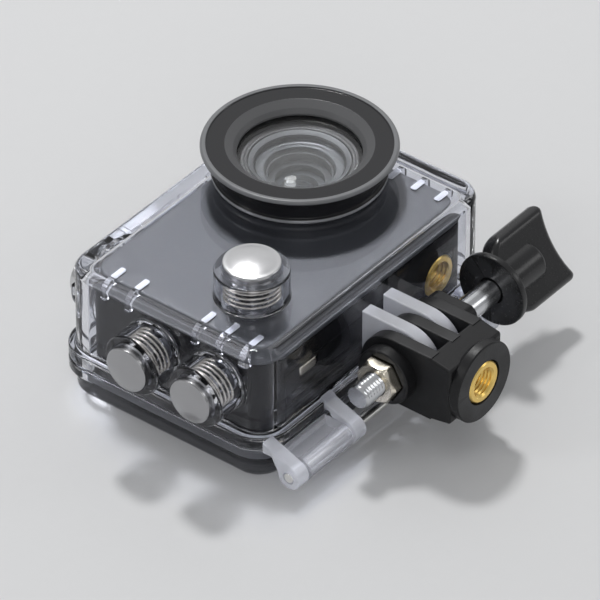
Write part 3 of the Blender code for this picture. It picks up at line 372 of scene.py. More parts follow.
def rounded_rectangle(half_w, half_h, radius, z):
    """Points of a flat rectangle with round corners, at one height."""
    radius = max(radius, TINY_ROUND)
    points = []
    for quarter, (side, end) in enumerate(((1, 1), (-1, 1), (-1, -1), (1, -1))):
        centre = (side * (half_w - radius), end * (half_h - radius))
        points += arc(centre, radius, 90 * quarter, 90 * quarter + 90, CORNER_STEPS)
    return level(points, z)


def skin(mesh, loops, place, closed=False):
    """Skins a row of equal point loops, and caps its two ends or closes it into a ring."""
    rings = [[mesh.verts.new(place @ Vector(point)) for point in loop] for loop in loops]
    pairs = list(zip(rings, rings[1:]))
    if closed:
        pairs.append((rings[-1], rings[0]))
    else:
        mesh.faces.new(rings[0])
        mesh.faces.new(rings[-1])
    for low, high in pairs:
        for here in range(len(low)):
            mesh.faces.new((low[here - 1], low[here], high[here], high[here - 1]))


def linked(name, data):
    """Puts an object with this data into the scene."""
    item = bpy.data.objects.new(name, data)
    bpy.context.scene.collection.objects.link(item)
    return item


def solid(name, mesh):
    """Links a bmesh as an object that faces out."""
    data = bpy.data.meshes.new(name)
    bmesh.ops.recalc_face_normals(mesh, faces=mesh.faces)
    mesh.to_mesh(data)
    mesh.free()
    return linked(name, data)


def loft(name, loops, place=Matrix(), closed=False):
    """A piece skinned over a row of loops."""
    mesh = bmesh.new()
    skin(mesh, loops, place, closed)
    return solid(name, mesh)


def stacked(name, levels, closed=False):
    """Lofts the housing's outline through (inset, height) levels."""
    loops = []
    for inset, z in levels:
        loops.append(rounded_rectangle(HALF_W - inset, HALF_H - inset, HOUSING_CORNER - inset, z))
    return loft(name, loops, closed=closed)


def turned(name, profile, place=LENS_AXIS, steps=FINE, closed=False):
    """Turns a (radius, height) profile round the local Z axis."""
    return loft(name, [level(circle(radius, steps), z) for radius, z in profile], place, closed)


def lens_ring(name, corners, rounding):
    """A ring round the lens's axis, with softened corners."""
    return turned(name, softened(corners, rounding, closed=True), closed=True)


def bar(name, outline, low, high, place=ALONG_X, edge=SMALL_ROUND):
    """Runs an outline from low to high along the local Z axis, with rounded ends."""
    bend = [(edge - across, edge - up) for across, up in arc((0, 0), edge, 90, 0, ROUND_STEPS)]
    levels = [(inset, low + rise) for inset, rise in bend]
    levels += [(inset, high - rise) for inset, rise in reversed(bend)]
    return loft(name, [level(drawn_in(outline, inset), z) for inset, z in levels], place)


def rod(name, radius, low, high, place, steps=MEDIUM):
    """A plain cylinder, mostly to cut with."""
    return turned(name, [(radius, low), (radius, high)], place, steps)


def axis_at(point):
    """Frame whose Z runs along X through a joint."""
    return Matrix.Translation((0, point.y, point.z)) @ ALONG_X


def merge(item, added=(), removed=()):
    """Joins tools to a piece, cuts others out of it, and keeps only the result."""
    for operation, tools in (("UNION", added), ("DIFFERENCE", removed)):
        for tool in tools:
            step = item.modifiers.new(tool.name, "BOOLEAN")
            step.operation = operation
            step.solver = "EXACT"
            step.object = tool
    graph = bpy.context.evaluated_depsgraph_get()
    result = bpy.data.meshes.new_from_object(item.evaluated_get(graph), depsgraph=graph)
    item.modifiers.clear()
    item.data = result
    for tool in (*added, *removed):
        bpy.data.objects.remove(tool)
    return item


def dress(item, material, body, slot, *nodes):
    """Gives a new piece its material and shading, and sets it on its body in the place of CAD nodes."""
    item.data.materials.clear()
    item.data.materials.append(material)
    item.data.shade_smooth()
    item.data.set_sharp_from_angle(angle=SHARP_FROM)
    shading = item.modifiers.new("shading", "WEIGHTED_NORMAL")
    shading.keep_sharp = True
    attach(item, body)
    if nodes:
        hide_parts(*nodes)


def dress_node(name, material, edge):
    """Gives a CAD node its material, and rounds its edges by a modifier."""
    item = frame["nodes"][name]
    item.data.materials.clear()
    item.data.materials.append(material)
    weld = item.modifiers.new("weld", "WELD")
    weld.merge_threshold = WELD
    rounding = item.modifiers.new("rounding", "BEVEL")
    rounding.width = edge
    rounding.segments = 2
    rounding.limit_method = "ANGLE"
    rounding.angle_limit = BEVEL_FROM
    item.modifiers.new("shading", "WEIGHTED_NORMAL")


class Wire:
    """An output socket of a material; sums, products and powers of wires add Math nodes."""

    def __init__(self, paint, socket):
        self.paint = paint
        self.socket = socket

    def math(self, operation, first, second):
        return self.paint.node("Math", {"operation": operation}, {0: first, 1: second})

    def __add__(self, other):
        return self.math("ADD", self, other)

    def __sub__(self, other):
        return self.math("SUBTRACT", self, other)

    def __rsub__(self, other):
        return self.math("SUBTRACT", other, self)

    def __mul__(self, other):
        return self.math("MULTIPLY", self, other)

    def __pow__(self, other):
        return self.math("POWER", self, other)

    __radd__ = __add__
    __rmul__ = __mul__


class Paint:
    """A procedural material in the making."""

    def __init__(self, name):
        self.material = bpy.data.materials.new(name)
        self.material.use_nodes = True
        self.tree = self.material.node_tree
        self.tree.nodes.clear()

    def node(self, kind, settings=None, inputs=None, output=0):
        """Adds a node: its settings first, then the values or wires of its sockets."""
        node = self.tree.nodes.new(f"ShaderNode{kind}")
        for name, value in (settings or {}).items():
            setattr(node, name, value)
        for name, value in (inputs or {}).items():
            if isinstance(value, Wire):
                self.tree.links.new(value.socket, node.inputs[name])
            else:
                node.inputs[name].default_value = value
        return Wire(self, node.outputs[output])

    def place(self):
        """Where a point is on the part at rest, in metres."""
        return self.node("TexCoord", output="Object")

    def axes(self):
        """That place as three wires."""
        split = self.node("SeparateXYZ", None, {0: self.place()}).socket.node
        return [Wire(self, socket) for socket in split.outputs]

    def noise(self, scale, detail=2.0, stretch=None):
        """Noise around 0.5, with its scale in waves to the metre."""
        at = self.place()
        if stretch:
            at = self.node("VectorMath", {"operation": "MULTIPLY"}, {0: at, 1: stretch})
        return self.node("TexNoise", None, {"Vector": at, "Scale": scale, "Detail": detail})

    def between(self, value, low, high):
        """A smooth mask that rises from 0 at low to 1 at high."""
        settings = {"interpolation_type": "SMOOTHSTEP"}
        return self.node("MapRange", settings, {"Value": value, "From Min": low, "From Max": high})

    def edges(self, low=0.52, high=0.60):
        """A mask of outward edges, where handling wears a surface."""
        return self.between(self.node("NewGeometry", output="Pointiness"), low, high)

    def blend(self, factor, first, second):
        """A mix of two colours, each three numbers or a wire."""
        first, second = [c if isinstance(c, Wire) else (*c, 1) for c in (first, second)]
        return self.node("Mix", {"data_type": "RGBA"}, {0: factor, 6: first, 7: second}, 2)

    def shade(self, colour, amount, wire):
        """A colour that a wire around 0.5 makes darker and lighter by a share."""
        darker, lighter = [[channel * share for channel in colour] for share in (1 - amount, 1 + amount)]
        return self.blend(wire, darker, lighter)

    def bump(self, height, strength, distance):
        """A normal tilted by a height."""
        return self.node("Bump", None, {"Height": height, "Strength": strength, "Distance": distance})

    def principled(self, **sockets):
        """A Principled shader; underscores stand for the spaces in its sockets' names."""
        named = {name.replace("_", " "): value for name, value in sockets.items()}
        return self.node("BsdfPrincipled", None, named)

    def done(self, shader):
        """The finished material."""
        output = self.tree.nodes.new("ShaderNodeOutputMaterial")
        self.tree.links.new(shader.socket, output.inputs["Surface"])
        return self.material

    def opaque(self, **sockets):
        """The finished material of a solid surface."""
        return self.done(self.principled(**sockets))

    def glassy(self, tint, **sockets):
        """The finished material of clear stuff, which tints the lamplight that falls through it."""
        shader = self.principled(**sockets)
        through = self.node("BsdfTransparent", None, {"Color": (*tint, 1)})
        shadow = self.node("LightPath", output="Is Shadow Ray")
        return self.done(self.node("MixShader", None, {0: shadow, 1: shader, 2: through}))


def clear_polycarbonate():
    """Clear moulded plastic with a faint lavender cast, slow flow marks and fine handling haze."""
    paint = Paint("clear_polycarbonate")
    flow = paint.noise(90, 1.0)
    haze = paint.between(paint.noise(1500, 3.0), 0.55, 0.75)
    return paint.glassy(
        (0.94, 0.945, 0.96),
        Base_Color=paint.shade((0.885, 0.895, 0.935), 0.01, flow),
        Roughness=0.012 + 0.05 * haze,
        IOR=1.50,
        Specular_Tint=(0.50, 0.50, 0.53, 1),
        Transmission_Weight=1.0,
        Normal=paint.bump(flow, 0.10, 0.3 * MM),
    )


def matt_polycarbonate_painted_sheen(name, milk):
    """The same plastic left matt by the mould, with a share of milk in it; the milky light body is painted
    sheen that stands in for the light reflected off clear prongs, lugs and hinge barrels.
    """
    paint = Paint(name)
    frost = paint.noise(1700)
    cloud = paint.noise(160)
    return paint.glassy(
        (0.84, 0.85, 0.88),
        # Painted sheen: the milky body colour stands in for reflected light.
        Base_Color=paint.shade((0.92, 0.93, 0.98), 0.02, cloud),
        Roughness=0.05 + 0.25 * milk + 0.10 * frost,
        IOR=1.44,
        Transmission_Weight=1 - milk,
        Normal=paint.bump(cloud, 0.08, 0.2 * MM),
    )


def frosted_glint_pads():
    """The ribs' landings, matt and near-white: painted highlights that stand in for the glints off the clear
    ribs' ends.
    """
    paint = Paint("frosted_glint_pads")
    frost = paint.noise(2400, 3.0)
    return paint.opaque(
        Base_Color=paint.shade((0.86, 0.87, 0.91), 0.08, frost),
        Roughness=0.30 + 0.15 * frost,
        Normal=paint.bump(frost, 0.3, 0.02 * MM),
    )


def clear_glass(name, tint):
    """Polished glass with specks of dust."""
    paint = Paint(name)
    dust = paint.between(paint.noise(2200), 0.66, 0.74)
    return paint.glassy(
        (0.95, 0.96, 0.97),
        Base_Color=(*tint, 1),
        Roughness=0.004 + 0.05 * dust,
        IOR=1.46,
        Transmission_Weight=1.0,
    )


def black_plastic(name, colour, roughness, grain, grain_depth, shine=0.5):
    """Moulded dark plastic: fine tool grain and paler, worn edges."""
    paint = Paint(name)
    spark = paint.noise(grain, 4.0)
    cloud = paint.noise(130)
    worn = paint.edges() * paint.between(cloud, 0.35, 0.65)
    body = paint.shade(colour, 0.25, cloud)
    return paint.opaque(
        Base_Color=paint.blend(worn * 0.4, body, (0.06, 0.062, 0.066)),
        Roughness=roughness - 0.08 + 0.16 * spark,
        Specular_IOR_Level=shine,
        Normal=paint.bump(spark, 0.35, grain_depth),
    )


def gloss_black():
    """Polished black plastic of the lens port, with hairline marks."""
    paint = Paint("gloss_black")
    hair = paint.between(paint.noise(420, 3.0, (1, 1, 6)), 0.60, 0.68)
    cloud = paint.noise(150)
    return paint.opaque(
        Base_Color=paint.blend(paint.edges(0.53, 0.62), (0.010, 0.010, 0.012), (0.05, 0.052, 0.056)),
        Roughness=0.10 + 0.10 * hair + 0.06 * cloud,
        Coat_Weight=0.6,
        Coat_Roughness=0.05,
    )


def bezel_black():
    """Gloss black outside and on the flat band, satin grey in the funnel; light grey on the rim and on the
    bead as painted highlights.
    """
    paint = Paint("bezel_black")
    x, y, z = paint.axes()
    radius = ((x - LENS.x) * (x - LENS.x) + (y - LENS.y) * (y - LENS.y)) ** 0.5
    base, top = BEZEL[0].z, BEZEL[1].z
    soft = 0.1 * MM
    funnel = paint.between(radius, BAND_R + soft, BAND_R - soft)
    # Painted highlight: the rim's light grey band stands in for the light reflected off its bevel.
    rim = paint.between(z, top - BEZEL_RIM / 2 - soft, top - BEZEL_RIM / 2 + soft)
    rim = rim * paint.between(radius, BEZEL_R - BEZEL_RIM + soft, BEZEL_R - BEZEL_RIM + 3 * soft)
    # Painted highlight: the bead at the foot is made light grey and partly metallic to stand in for the
    # bright line round the port's foot.
    bead = paint.between(z, base + 1.8 * BEZEL_BEAD, base + 1.4 * BEZEL_BEAD)
    speck = paint.noise(3000)
    cloud = paint.noise(170)
    dark = paint.blend(funnel, (0.012, 0.012, 0.014), (0.100, 0.101, 0.105))
    # The rim's painted highlight, in two greys.
    rim_highlight = paint.blend(cloud, (0.14, 0.144, 0.152), (0.21, 0.214, 0.222))
    return paint.opaque(
        Base_Color=paint.blend(rim, paint.blend(bead, dark, (0.55, 0.56, 0.58)), rim_highlight),
        Metallic=0.6 * bead,
        Roughness=0.10 + 0.32 * funnel + 0.20 * rim + 0.12 * bead + 0.06 * speck,
        Normal=paint.bump(speck * funnel, 0.3, 0.02 * MM),
    )


def face_grey():
    """Satin grey metallic paint: fine flakes under a soft sheen."""
    paint = Paint("face_grey")
    flake = paint.noise(5200, 1.0)
    body = paint.shade((0.079, 0.083, 0.091), 0.06, paint.noise(60))
    return paint.opaque(
        Base_Color=paint.blend(paint.between(flake, 0.58, 0.74), body, (0.12, 0.124, 0.132)),
        Metallic=0.25,
        Roughness=0.36 + 0.10 * flake,
        Normal=paint.bump(flake, 0.15, 0.01 * MM),
    )


def metal(name, colour, roughness, grain, stretch=None):
    """Bare or plated metal with drawn or turned marks and slight tarnish."""
    paint = Paint(name)
    marks = paint.noise(grain, 3.0, stretch)
    tarnish = paint.noise(210)
    return paint.opaque(
        Base_Color=paint.shade(colour, 0.07, tarnish),
        Metallic=1.0,
        Roughness=roughness - 0.03 + 0.06 * marks + 0.04 * tarnish,
        Normal=paint.bump(marks, 0.12, 0.006 * MM),
    )


def connector_metal():
    """Plated connector shells with black inserts in their mouths."""
    paint = Paint("connector_metal")
    x, _, _ = paint.axes()
    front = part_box("connector_block")[1].x - CONNECTOR_FRONT
    soft = 0.1 * MM
    shell = paint.between(x, front - soft, front + soft)
    return paint.opaque(
        Base_Color=paint.blend(shell, (0.010, 0.010, 0.012), (0.50, 0.51, 0.53)),
        Metallic=shell,
        Roughness=0.45 - 0.20 * shell + 0.06 * paint.noise(900, 3.0),
    )


def soft_seal(name, colour, roughness):
    """Rubber or silicone with a fine bloom."""
    paint = Paint(name)
    bloom = paint.noise(900, 3.0)
    return paint.opaque(
        Base_Color=paint.shade(colour, 0.15, bloom),
        Roughness=roughness - 0.05 + 0.10 * bloom,
        Normal=paint.bump(bloom, 0.2, 0.02 * MM),
    )


def circuit_board():
    """Green solder mask with thin tracks and tinned pads."""
    paint = Paint("circuit_board")
    cells = paint.node("TexVoronoi", {"distance": "MANHATTAN"}, {"Vector": paint.place(), "Scale": 420.0})
    track = paint.between(cells, 0.50, 0.56)
    pad = paint.between(paint.noise(800, 0.0), 0.66, 0.68)
    mask = paint.blend(track, (0.012, 0.10, 0.04), (0.03, 0.20, 0.09))
    return paint.opaque(
        Base_Color=paint.blend(pad, mask, (0.62, 0.60, 0.55)),
        Metallic=pad,
        Roughness=0.42 - 0.12 * pad,
        Normal=paint.bump(track, 0.4, 0.03 * MM),
    )


def screen_glass():
    """Black cover glass with faint wiping smears."""
    paint = Paint("screen_glass")
    smear = paint.between(paint.noise(120, 3.0, (1, 3, 1)), 0.5, 0.7)
    return paint.opaque(
        Base_Color=paint.blend(smear, (0.006, 0.007, 0.010), (0.012, 0.013, 0.017)),
        Roughness=0.05 + 0.10 * smear,
        Coat_Weight=1.0,
        Coat_Roughness=0.03,
    )


def image_chip():
    """Sensor with a violet to green sheen from its colour filter."""
    paint = Paint("image_chip")
    drift = paint.noise(160, 1.0)
    return paint.opaque(
        Base_Color=paint.blend(drift, (0.10, 0.04, 0.18), (0.03, 0.12, 0.10)),
        Metallic=0.6,
        Roughness=0.18 + 0.08 * drift,
    )


def battery_wrap():
    """Heat-shrunk dark blue film."""
    paint = Paint("battery_wrap")
    pull = paint.noise(140, 3.0, (1, 4, 1))
    return paint.opaque(
        Base_Color=paint.shade((0.02, 0.03, 0.06), 0.2, pull),
        Roughness=0.30 + 0.2 * pull,
        Normal=paint.bump(pull, 0.3, 0.1 * MM),
    )


def pale_floor():
    """Nearly white matt floor."""
    paint = Paint("pale_floor")
    grain = paint.noise(300, 3.0)
    colour = paint.shade((0.70, 0.702, 0.708), 0.01, grain)
    return paint.opaque(Base_Color=colour, Roughness=0.55 + 0.05 * grain)


def tongue(root, pivot, radius, steps, drop=None):
    """(y, z) outline of a flat arm from a wall to a round end about a pivot."""
    end = arc((pivot.y, pivot.z), radius, -90, 90 if pivot.y > root else -270, steps)
    return [(root, pivot.z - (drop or radius)), *end, (root, pivot.z + radius)]


def pierced_row(name, outline, spans, pivot, hole_r, material, body):
    """A row of flat clear pieces along X, with one hole through all of them."""
    row = [bar(f"{name}_{low}", outline, low, high) for low, high in spans]
    hole = rod(f"{name}_hole", hole_r + GAP, -HALF_W - PAST, HALF_W + PAST, axis_at(pivot))
    item = merge(row[0], row[1:], [hole])
    item.name = name
    dress(item, material, body, "clear_polycarbonate")


def barrel_spans():
    """X spans of the door's two hinge barrels."""
    left = HINGE_PIN[0].x + LUG_WIDTH + GAP
    right = HINGE_PIN[1].x - LUG_WIDTH - GAP
    return [(left, left + LEFT_BARREL_LENGTH), (right - RIGHT_BARREL_LENGTH, right)]


def hinge_lugs(material):
    """Four lugs under the shell's rim that hold the hinge pin."""
    wall = -HALF_H + ROOT_TOUCH
    eye = arc((HINGE.y, HINGE.z), HINGE_R, 0, LUG_SLOPE - 270, LUG_STEPS)
    rise = (wall - eye[-1][0]) * math.tan(math.radians(LUG_SLOPE))
    outline = [(wall, SPLIT_Z), (-HALF_H - RIM_REACH - 2 * GAP, SPLIT_Z), *eye, (wall, eye[-1][1] + rise)]
    lows = [low for left, right in barrel_spans() for low in (left - GAP - LUG_WIDTH, right + GAP)]
    spans = [(low, low + LUG_WIDTH) for low in lows]
    pierced_row("hinge_lugs", outline, spans, HINGE, PIN_R, material, "housing")


def prongs(material):
    """Two prongs on the bottom wall, between the mount's leaves."""
    outline = tongue(-HALF_H + ROOT_TOUCH, MOUNT, PRONG_R, MEDIUM)
    lows = [side * PRONG_PITCH / 2 - PRONG_THICK / 2 for side in (-1, 1)]
    spans = [(low, low + PRONG_THICK) for low in lows]
    pierced_row("prong_pair", outline, spans, MOUNT, SCREW_R, material, "housing")


def locating_ribs(material):
    """Ribs in the front wall's two ends: deep beside the camera, shallow over its face."""
    beside = CAMERA.x + GAP
    over = CAMERA.x - PAD_REACH
    outer = HALF_W - WALL - RIB_SEAM
    top = INNER_Z - RIB_SEAM
    deep = INNER_Z - RIB_DEPTH
    shallow = FACE_Z + GAP
    rounds = [INNER_ROUND, 0, 0, TINY_ROUND, FINE_ROUND, FINE_ROUND]
    outline = softened(stairs(top, outer, over, shallow, beside, deep, outer), rounds, closed=True)
    mesh = bmesh.new()
    for side, place in RIB_PLACES:
        ends = (place - RIB_THICK / 2, place + RIB_THICK / 2)
        skin(mesh, [[(z, side * x, end) for z, x in outline] for end in ends], ALONG_Y)
    dress(solid("locating_ribs", mesh), material, "housing", "clear_polycarbonate")


def rib_glint_pads(material):
    """Thin near-white sheets on the ribs' shallow landings over the camera's face, put there as painted
    glints.
    """
    low, high = FACE_Z + GAP / 2, FACE_Z + GAP + TINY_ROUND / 2
    loops = []
    for inset, z in ((TINY_ROUND, low), (0, low + TINY_ROUND), (0, high)):
        loops.append(rounded_rectangle(PAD_REACH / 2 - inset, PAD_WIDTH / 2 - inset, PAD_WIDTH / 3, z))
    mesh = bmesh.new()
    for side, place in RIB_PLACES:
        skin(mesh, loops, Matrix.Translation((side * (CAMERA.x - PAD_REACH / 2), place, 0)))
    dress(solid("rib_glint_pads", mesh), material, "housing", "clear_polycarbonate")


class Button:
    """The places of one push button, read from its plunger's box, in its own frame."""

    def __init__(self, name):
        outward, self.collar = BUTTONS[name]
        self.name = name
        self.outward = Vector(outward)
        low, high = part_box(f"{name}_plunger")
        wall = (HALF_W, HALF_H, FRONT_Z)
        point = Vector([w * o if o else m for w, o, m in zip(wall, outward, (low + high) / 2)])
        turn = Vector((0, 0, 1)).rotation_difference(self.outward)
        self.place = Matrix.Translation(point) @ turn.to_matrix().to_4x4()
        self.cap_r = max(high[axis] - low[axis] for axis in range(3) if not outward[axis]) / 2
        self.chamber_r = self.cap_r + GAP
        self.bottom = min((self.place.inverted() @ corner).z for corner in (low, high))
        self.top = self.collar + CAP_PROUD
        self.under = self.top - CAP_THICK

    def collar_tool(self):
        """The collar that is joined to the wall, with a flared foot."""
        outer = self.chamber_r + COLLAR_WALL
        flare = outer + COLLAR_FLARE
        corners = stairs(flare, -ROOT, COLLAR_FOOT, outer, self.collar, STEM_R)
        profile = softened(corners, [0, 0, COLLAR_FLARE, COLLAR_ROUND, 0])
        return turned(f"{self.name}_collar", profile, self.place)

    def bore_tool(self):
        """The stepped bore that is cut for the plunger: clip recess, stem hole and spring chamber."""
        recess = -WALL + CLIP_RECESS
        end = self.collar + PAST
        profile = stairs(CLIP_R + GAP, -WALL - PAST, recess, STEM_R + GAP, 0, self.chamber_r, end)
        return turned(f"{self.name}_bore", profile, self.place)

    def plunger(self, material):
        """Chromed cap with a rolled edge and a shallow dome, on a stem with a clip groove."""
        clip_top = -WALL + CLIP_RECESS - GAP
        neck = STEM_R - CLIP_NECK
        low, high = clip_top - CLIP_THICK - GAP, clip_top + GAP
        dome_r = self.cap_r - CAP_EDGE
        corners = stairs(STEM_R, low, neck, high, STEM_R, self.under, self.cap_r, self.top, flat=True)
        corners = [(STEM_R - GAP, self.bottom), *corners, (dome_r, self.top + CAP_STEP)]
        profile = softened(corners, [0, 0, 0, 0, 0, FINE_ROUND, LIGHT_ROUND, CAP_ROUND, 0])
        for step in range(1, DOME_STEPS):
            across = 1 - step / DOME_STEPS
            profile.append((dome_r * across, self.top + CAP_DOME * (1 - across ** 2)))
        item = turned(f"{self.name}_cap", profile, self.place)
        dress(item, material, f"{self.name}_button", "chrome", f"{self.name}_plunger")

    def spring(self, material):
        """Round wire wound up the chamber."""
        radius = self.chamber_r - GAP - SPRING_WIRE
        low = GAP + SPRING_WIRE
        high = self.under - GAP - SPRING_WIRE
        turns = (high - low) / SPRING_PITCH
        count = round(turns * SPRING_POINTS)
        loops = []
        for step in range(count + 1):
            angle = 2 * math.pi * turns * step / count
            rise = low + (high - low) * step / count
            out = Vector((math.cos(angle), math.sin(angle), 0))
            section = circle(SPRING_WIRE, WIRE_STEPS)
            loops.append([out * (radius + across) + Vector((0, 0, rise + up)) for across, up in section])
        item = loft(f"{self.name}_coil", loops, self.place)
        dress(item, material, "housing", "spring_steel", f"{self.name}_spring")
        travel = JOINTS[f"{self.name}_press"]["range_m"][1]
        keep = 1 - travel / (high - low + 2 * SPRING_WIRE)
        anchor = self.place @ Vector((0, 0, low - SPRING_WIRE))
        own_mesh(item)


def half_housing(name, inner, split, rim, outer):
    """One clear half, from its inner face round the parting face and the rim to its outer face."""
    start, end = WALL + 4 * INNER_ROUND, 2 * EDGE_ROUND
    corners = stairs(start, inner, WALL, split, -RIM_REACH, rim, 0, outer, end, flat=True)
    rounds = [0, INNER_ROUND, FINE_ROUND, SMALL_ROUND, SMALL_ROUND, RIM_CREASE, EDGE_ROUND, 0]
    return stacked(name, softened(corners, rounds))


def front_shell(material, buttons):
    """Front half with the buttons' collars, the latch's ears and the port's hole."""
    shell = half_housing("clear_shell", INNER_Z, SPLIT_Z, SPLIT_Z + RIM_THICK, FRONT_Z)
    ear = tongue(HALF_H - ROOT, LATCH, LATCH_EYE_R, EAR_STEPS, 2 * LATCH_EYE_R)
    inner = LATCH_HALF + GAP
    spans = ((-inner - EAR_THICK, -inner), (inner, inner + EAR_THICK))
    added = [bar(f"ear_{low}", ear, low, high) for low, high in spans]
    added += [button.collar_tool() for button in buttons]
    removed = [button.bore_tool() for button in buttons]
    removed += [
        rod("port_hole", PORT_BORE + PORT_SPIGOT + GAP, INNER_Z - PAST, FRONT_Z + PAST, LENS_AXIS, FINE),
        rod("latch_hole", PIN_R + GAP, -HALF_W, HALF_W, axis_at(LATCH)),
    ]
    merge(shell, added, removed)
    dress(shell, material, "housing", "clear_polycarbonate", "housing_shell")


def back_door(material, matt):
    """Rear half with its hinge barrels, the latch's lip and the gasket's groove."""
    door = half_housing("clear_door", DOOR_WALL, DOOR_TOP, DOOR_TOP - RIM_THICK, 0)
    arm = tongue(-HALF_H - RIM_REACH + ROOT_TOUCH, HINGE, HINGE_R, BARREL_STEPS)
    pierced_row("hinge_barrels", arm, barrel_spans(), HINGE, PIN_R, matt, "back_door")
    root = HALF_H - ROOT
    lip = stairs(root, LIP_LOW, HALF_H + LIP_REACH, LIP_LOW + LIP_THICK, root, flat=True)
    lip = softened(lip, [0, SOFT_ROUND, SOFT_ROUND, 0], closed=True)
    floor, mouth = DOOR_TOP - GASKET_GROOVE_DEPTH, DOOR_TOP + PAST
    outer, inner = GASKET_GROOVE
    groove = stacked("groove", stairs(outer, floor, mouth, inner, floor), closed=True)
    merge(door, [bar("lip", lip, -LATCH_HALF, LATCH_HALF)], [groove])
    dress(door, material, "back_door", "clear_polycarbonate", "rear_door")


def latch_lever(material):
    """Clear lever on the top side: an eye on its pin, an arm, a toe under the door's lip, a ridged tab."""
    lip_y = HALF_H + LIP_REACH
    toe_top = LIP_LOW - GAP
    arm = lip_y + GAP
    tab = arm + 2 * LATCH_TOE_THICK
    toe = toe_top - LATCH_TOE_THICK
    foot = stairs(arm, DOOR_TOP + GAP, toe_top, lip_y - LATCH_TOE, toe)
    foot += stairs(arm, toe_top - 2 * LATCH_TOE_THICK, tab + LATCH_TOE_THICK, toe, flat=True)
    foot.append((tab, toe_top + LATCH_TOE_THICK))
    eye = arc((LATCH.y, LATCH.z), LATCH_EYE_R, 0, 180, LATCH_EYE_STEPS)
    rounds = [0] * len(eye) + [0, FINE_ROUND] + [LATCH_ROUND] * 5 + [LATCH_SWEEP]
    outline = softened([*eye, *foot], rounds, closed=True)
    ajar = Matrix.Translation(LATCH) @ Matrix.Rotation(LATCH_AJAR, 4, "X") @ Matrix.Translation(-LATCH)
    lever = bar("clear_latch", outline, -LATCH_HALF, LATCH_HALF, ajar @ ALONG_X)
    half = LATCH_HALF - RIDGE_INSET
    full = half - RIDGE_TAPER
    profile = [(RIDGE_TIP_R, -half), (RIDGE_R, -full), (RIDGE_R, full), (RIDGE_TIP_R, half)]
    ridges = []
    for row in range(RIDGES):
        place = ajar @ Matrix.Translation((0, tab, toe_top + RIDGE_START + RIDGE_PITCH * row)) @ ALONG_X
        ridges.append(turned(f"ridge_{row}", profile, place, RIDGE_STEPS))
    merge(lever, ridges, [rod("lever_hole", PIN_R + GAP, -HALF_W, HALF_W, axis_at(LATCH))])
    dress(lever, material, "latch", "clear_polycarbonate", "latch_lever")


def lens_port(gloss, bezel_paint, glass):
    """Drum, window and bezel in front of the camera's lens."""
    low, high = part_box("port_drum")
    drum_r = (high.x - low.x) / 2
    window_r = (WINDOW[1].x - WINDOW[0].x) / 2
    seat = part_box("port_seal")[0].z - GAP
    spigot = PORT_BORE + PORT_SPIGOT
    drum = stairs(spigot, low.z, FRONT_Z + GAP, drum_r, high.z, window_r + GAP, seat, PORT_BORE, low.z)
    dress(lens_ring("drum", drum, FINE_ROUND), gloss, "housing", "gloss_black", "port_drum")
    pane = stairs(AXIS_R / 2, WINDOW[0].z, window_r, WINDOW[1].z, AXIS_R / 2, flat=True)
    dress(turned("window", softened(pane, WINDOW_ROUND)), glass, "housing", "port_glass", "port_window")
    bezel = turned("bezel", bezel_profile(drum_r + GAP, high.z + GAP), steps=2 * FINE, closed=True)
    dress(bezel, bezel_paint, "housing", "gloss_black", "port_bezel")


def bezel_profile(sleeve, under):
    """Line round the bezel: beaded foot, flared side, rim, flat band and funnel, with roundings in mm."""
    base, top = BEZEL[0].z, BEZEL[1].z
    rise = top - FRONT_Z
    port_r = sleeve + BEZEL_WALL
    flare = BEZEL_R - port_r
    bead = port_r + BEZEL_BEAD
    bead_top = base + 2 * BEZEL_BEAD
    rim = BEZEL_R - BEZEL_RIM
    band = top - BEZEL_STEP
    lip = PORT_BORE - GAP
    floor = under + BEZEL_RIM / 3
    bend = (BAND_R - FUNNEL_BEND[0] * (BAND_R - lip), band - FUNNEL_BEND[1] * (band - floor))
    corners = [
        ((sleeve, base), 0.1),
        ((bead, base), 0.35),
        ((bead, bead_top), 0.35),
        ((port_r, bead_top), 0.2),
        ((port_r + FLARE_KNEE[0] * flare, FRONT_Z + FLARE_KNEE[1] * rise), 3.0),
        ((port_r + FLARE_SHOULDER[0] * flare, FRONT_Z + FLARE_SHOULDER[1] * rise), 2.0),
        ((BEZEL_R, top - BEZEL_RIM / 2), 0.5),
        ((BEZEL_R - BEZEL_RIM / 4, top), 0.4),
        ((rim + BEZEL_STEP, top), 0.15),
        ((rim, band), 0.15),
        ((BAND_R, band), 0.2),
        (bend, 0.4),
        ((lip, floor), 0.2),
        ((lip, under), 0.1),
        ((sleeve, under), 0.1),
    ]
    return softened([point for point, _ in corners], [radius * MM for _, radius in corners], closed=True)


def meniscus(name, radius, low, edge, rise):
    """Domed glass of even thickness, hollow underneath, with a flat rim."""
    hollow = radius - edge
    sag = rise * (hollow / radius) ** 2
    shares = [(step + 1) / GLASS_STEPS for step in range(GLASS_STEPS)]
    profile = [(hollow * share, low + sag * (1 - share ** 2)) for share in shares]
    profile.append((radius, low))
    profile += [(radius * share, low + edge + rise * (1 - share ** 2)) for share in reversed(shares)]
    return turned(name, profile)


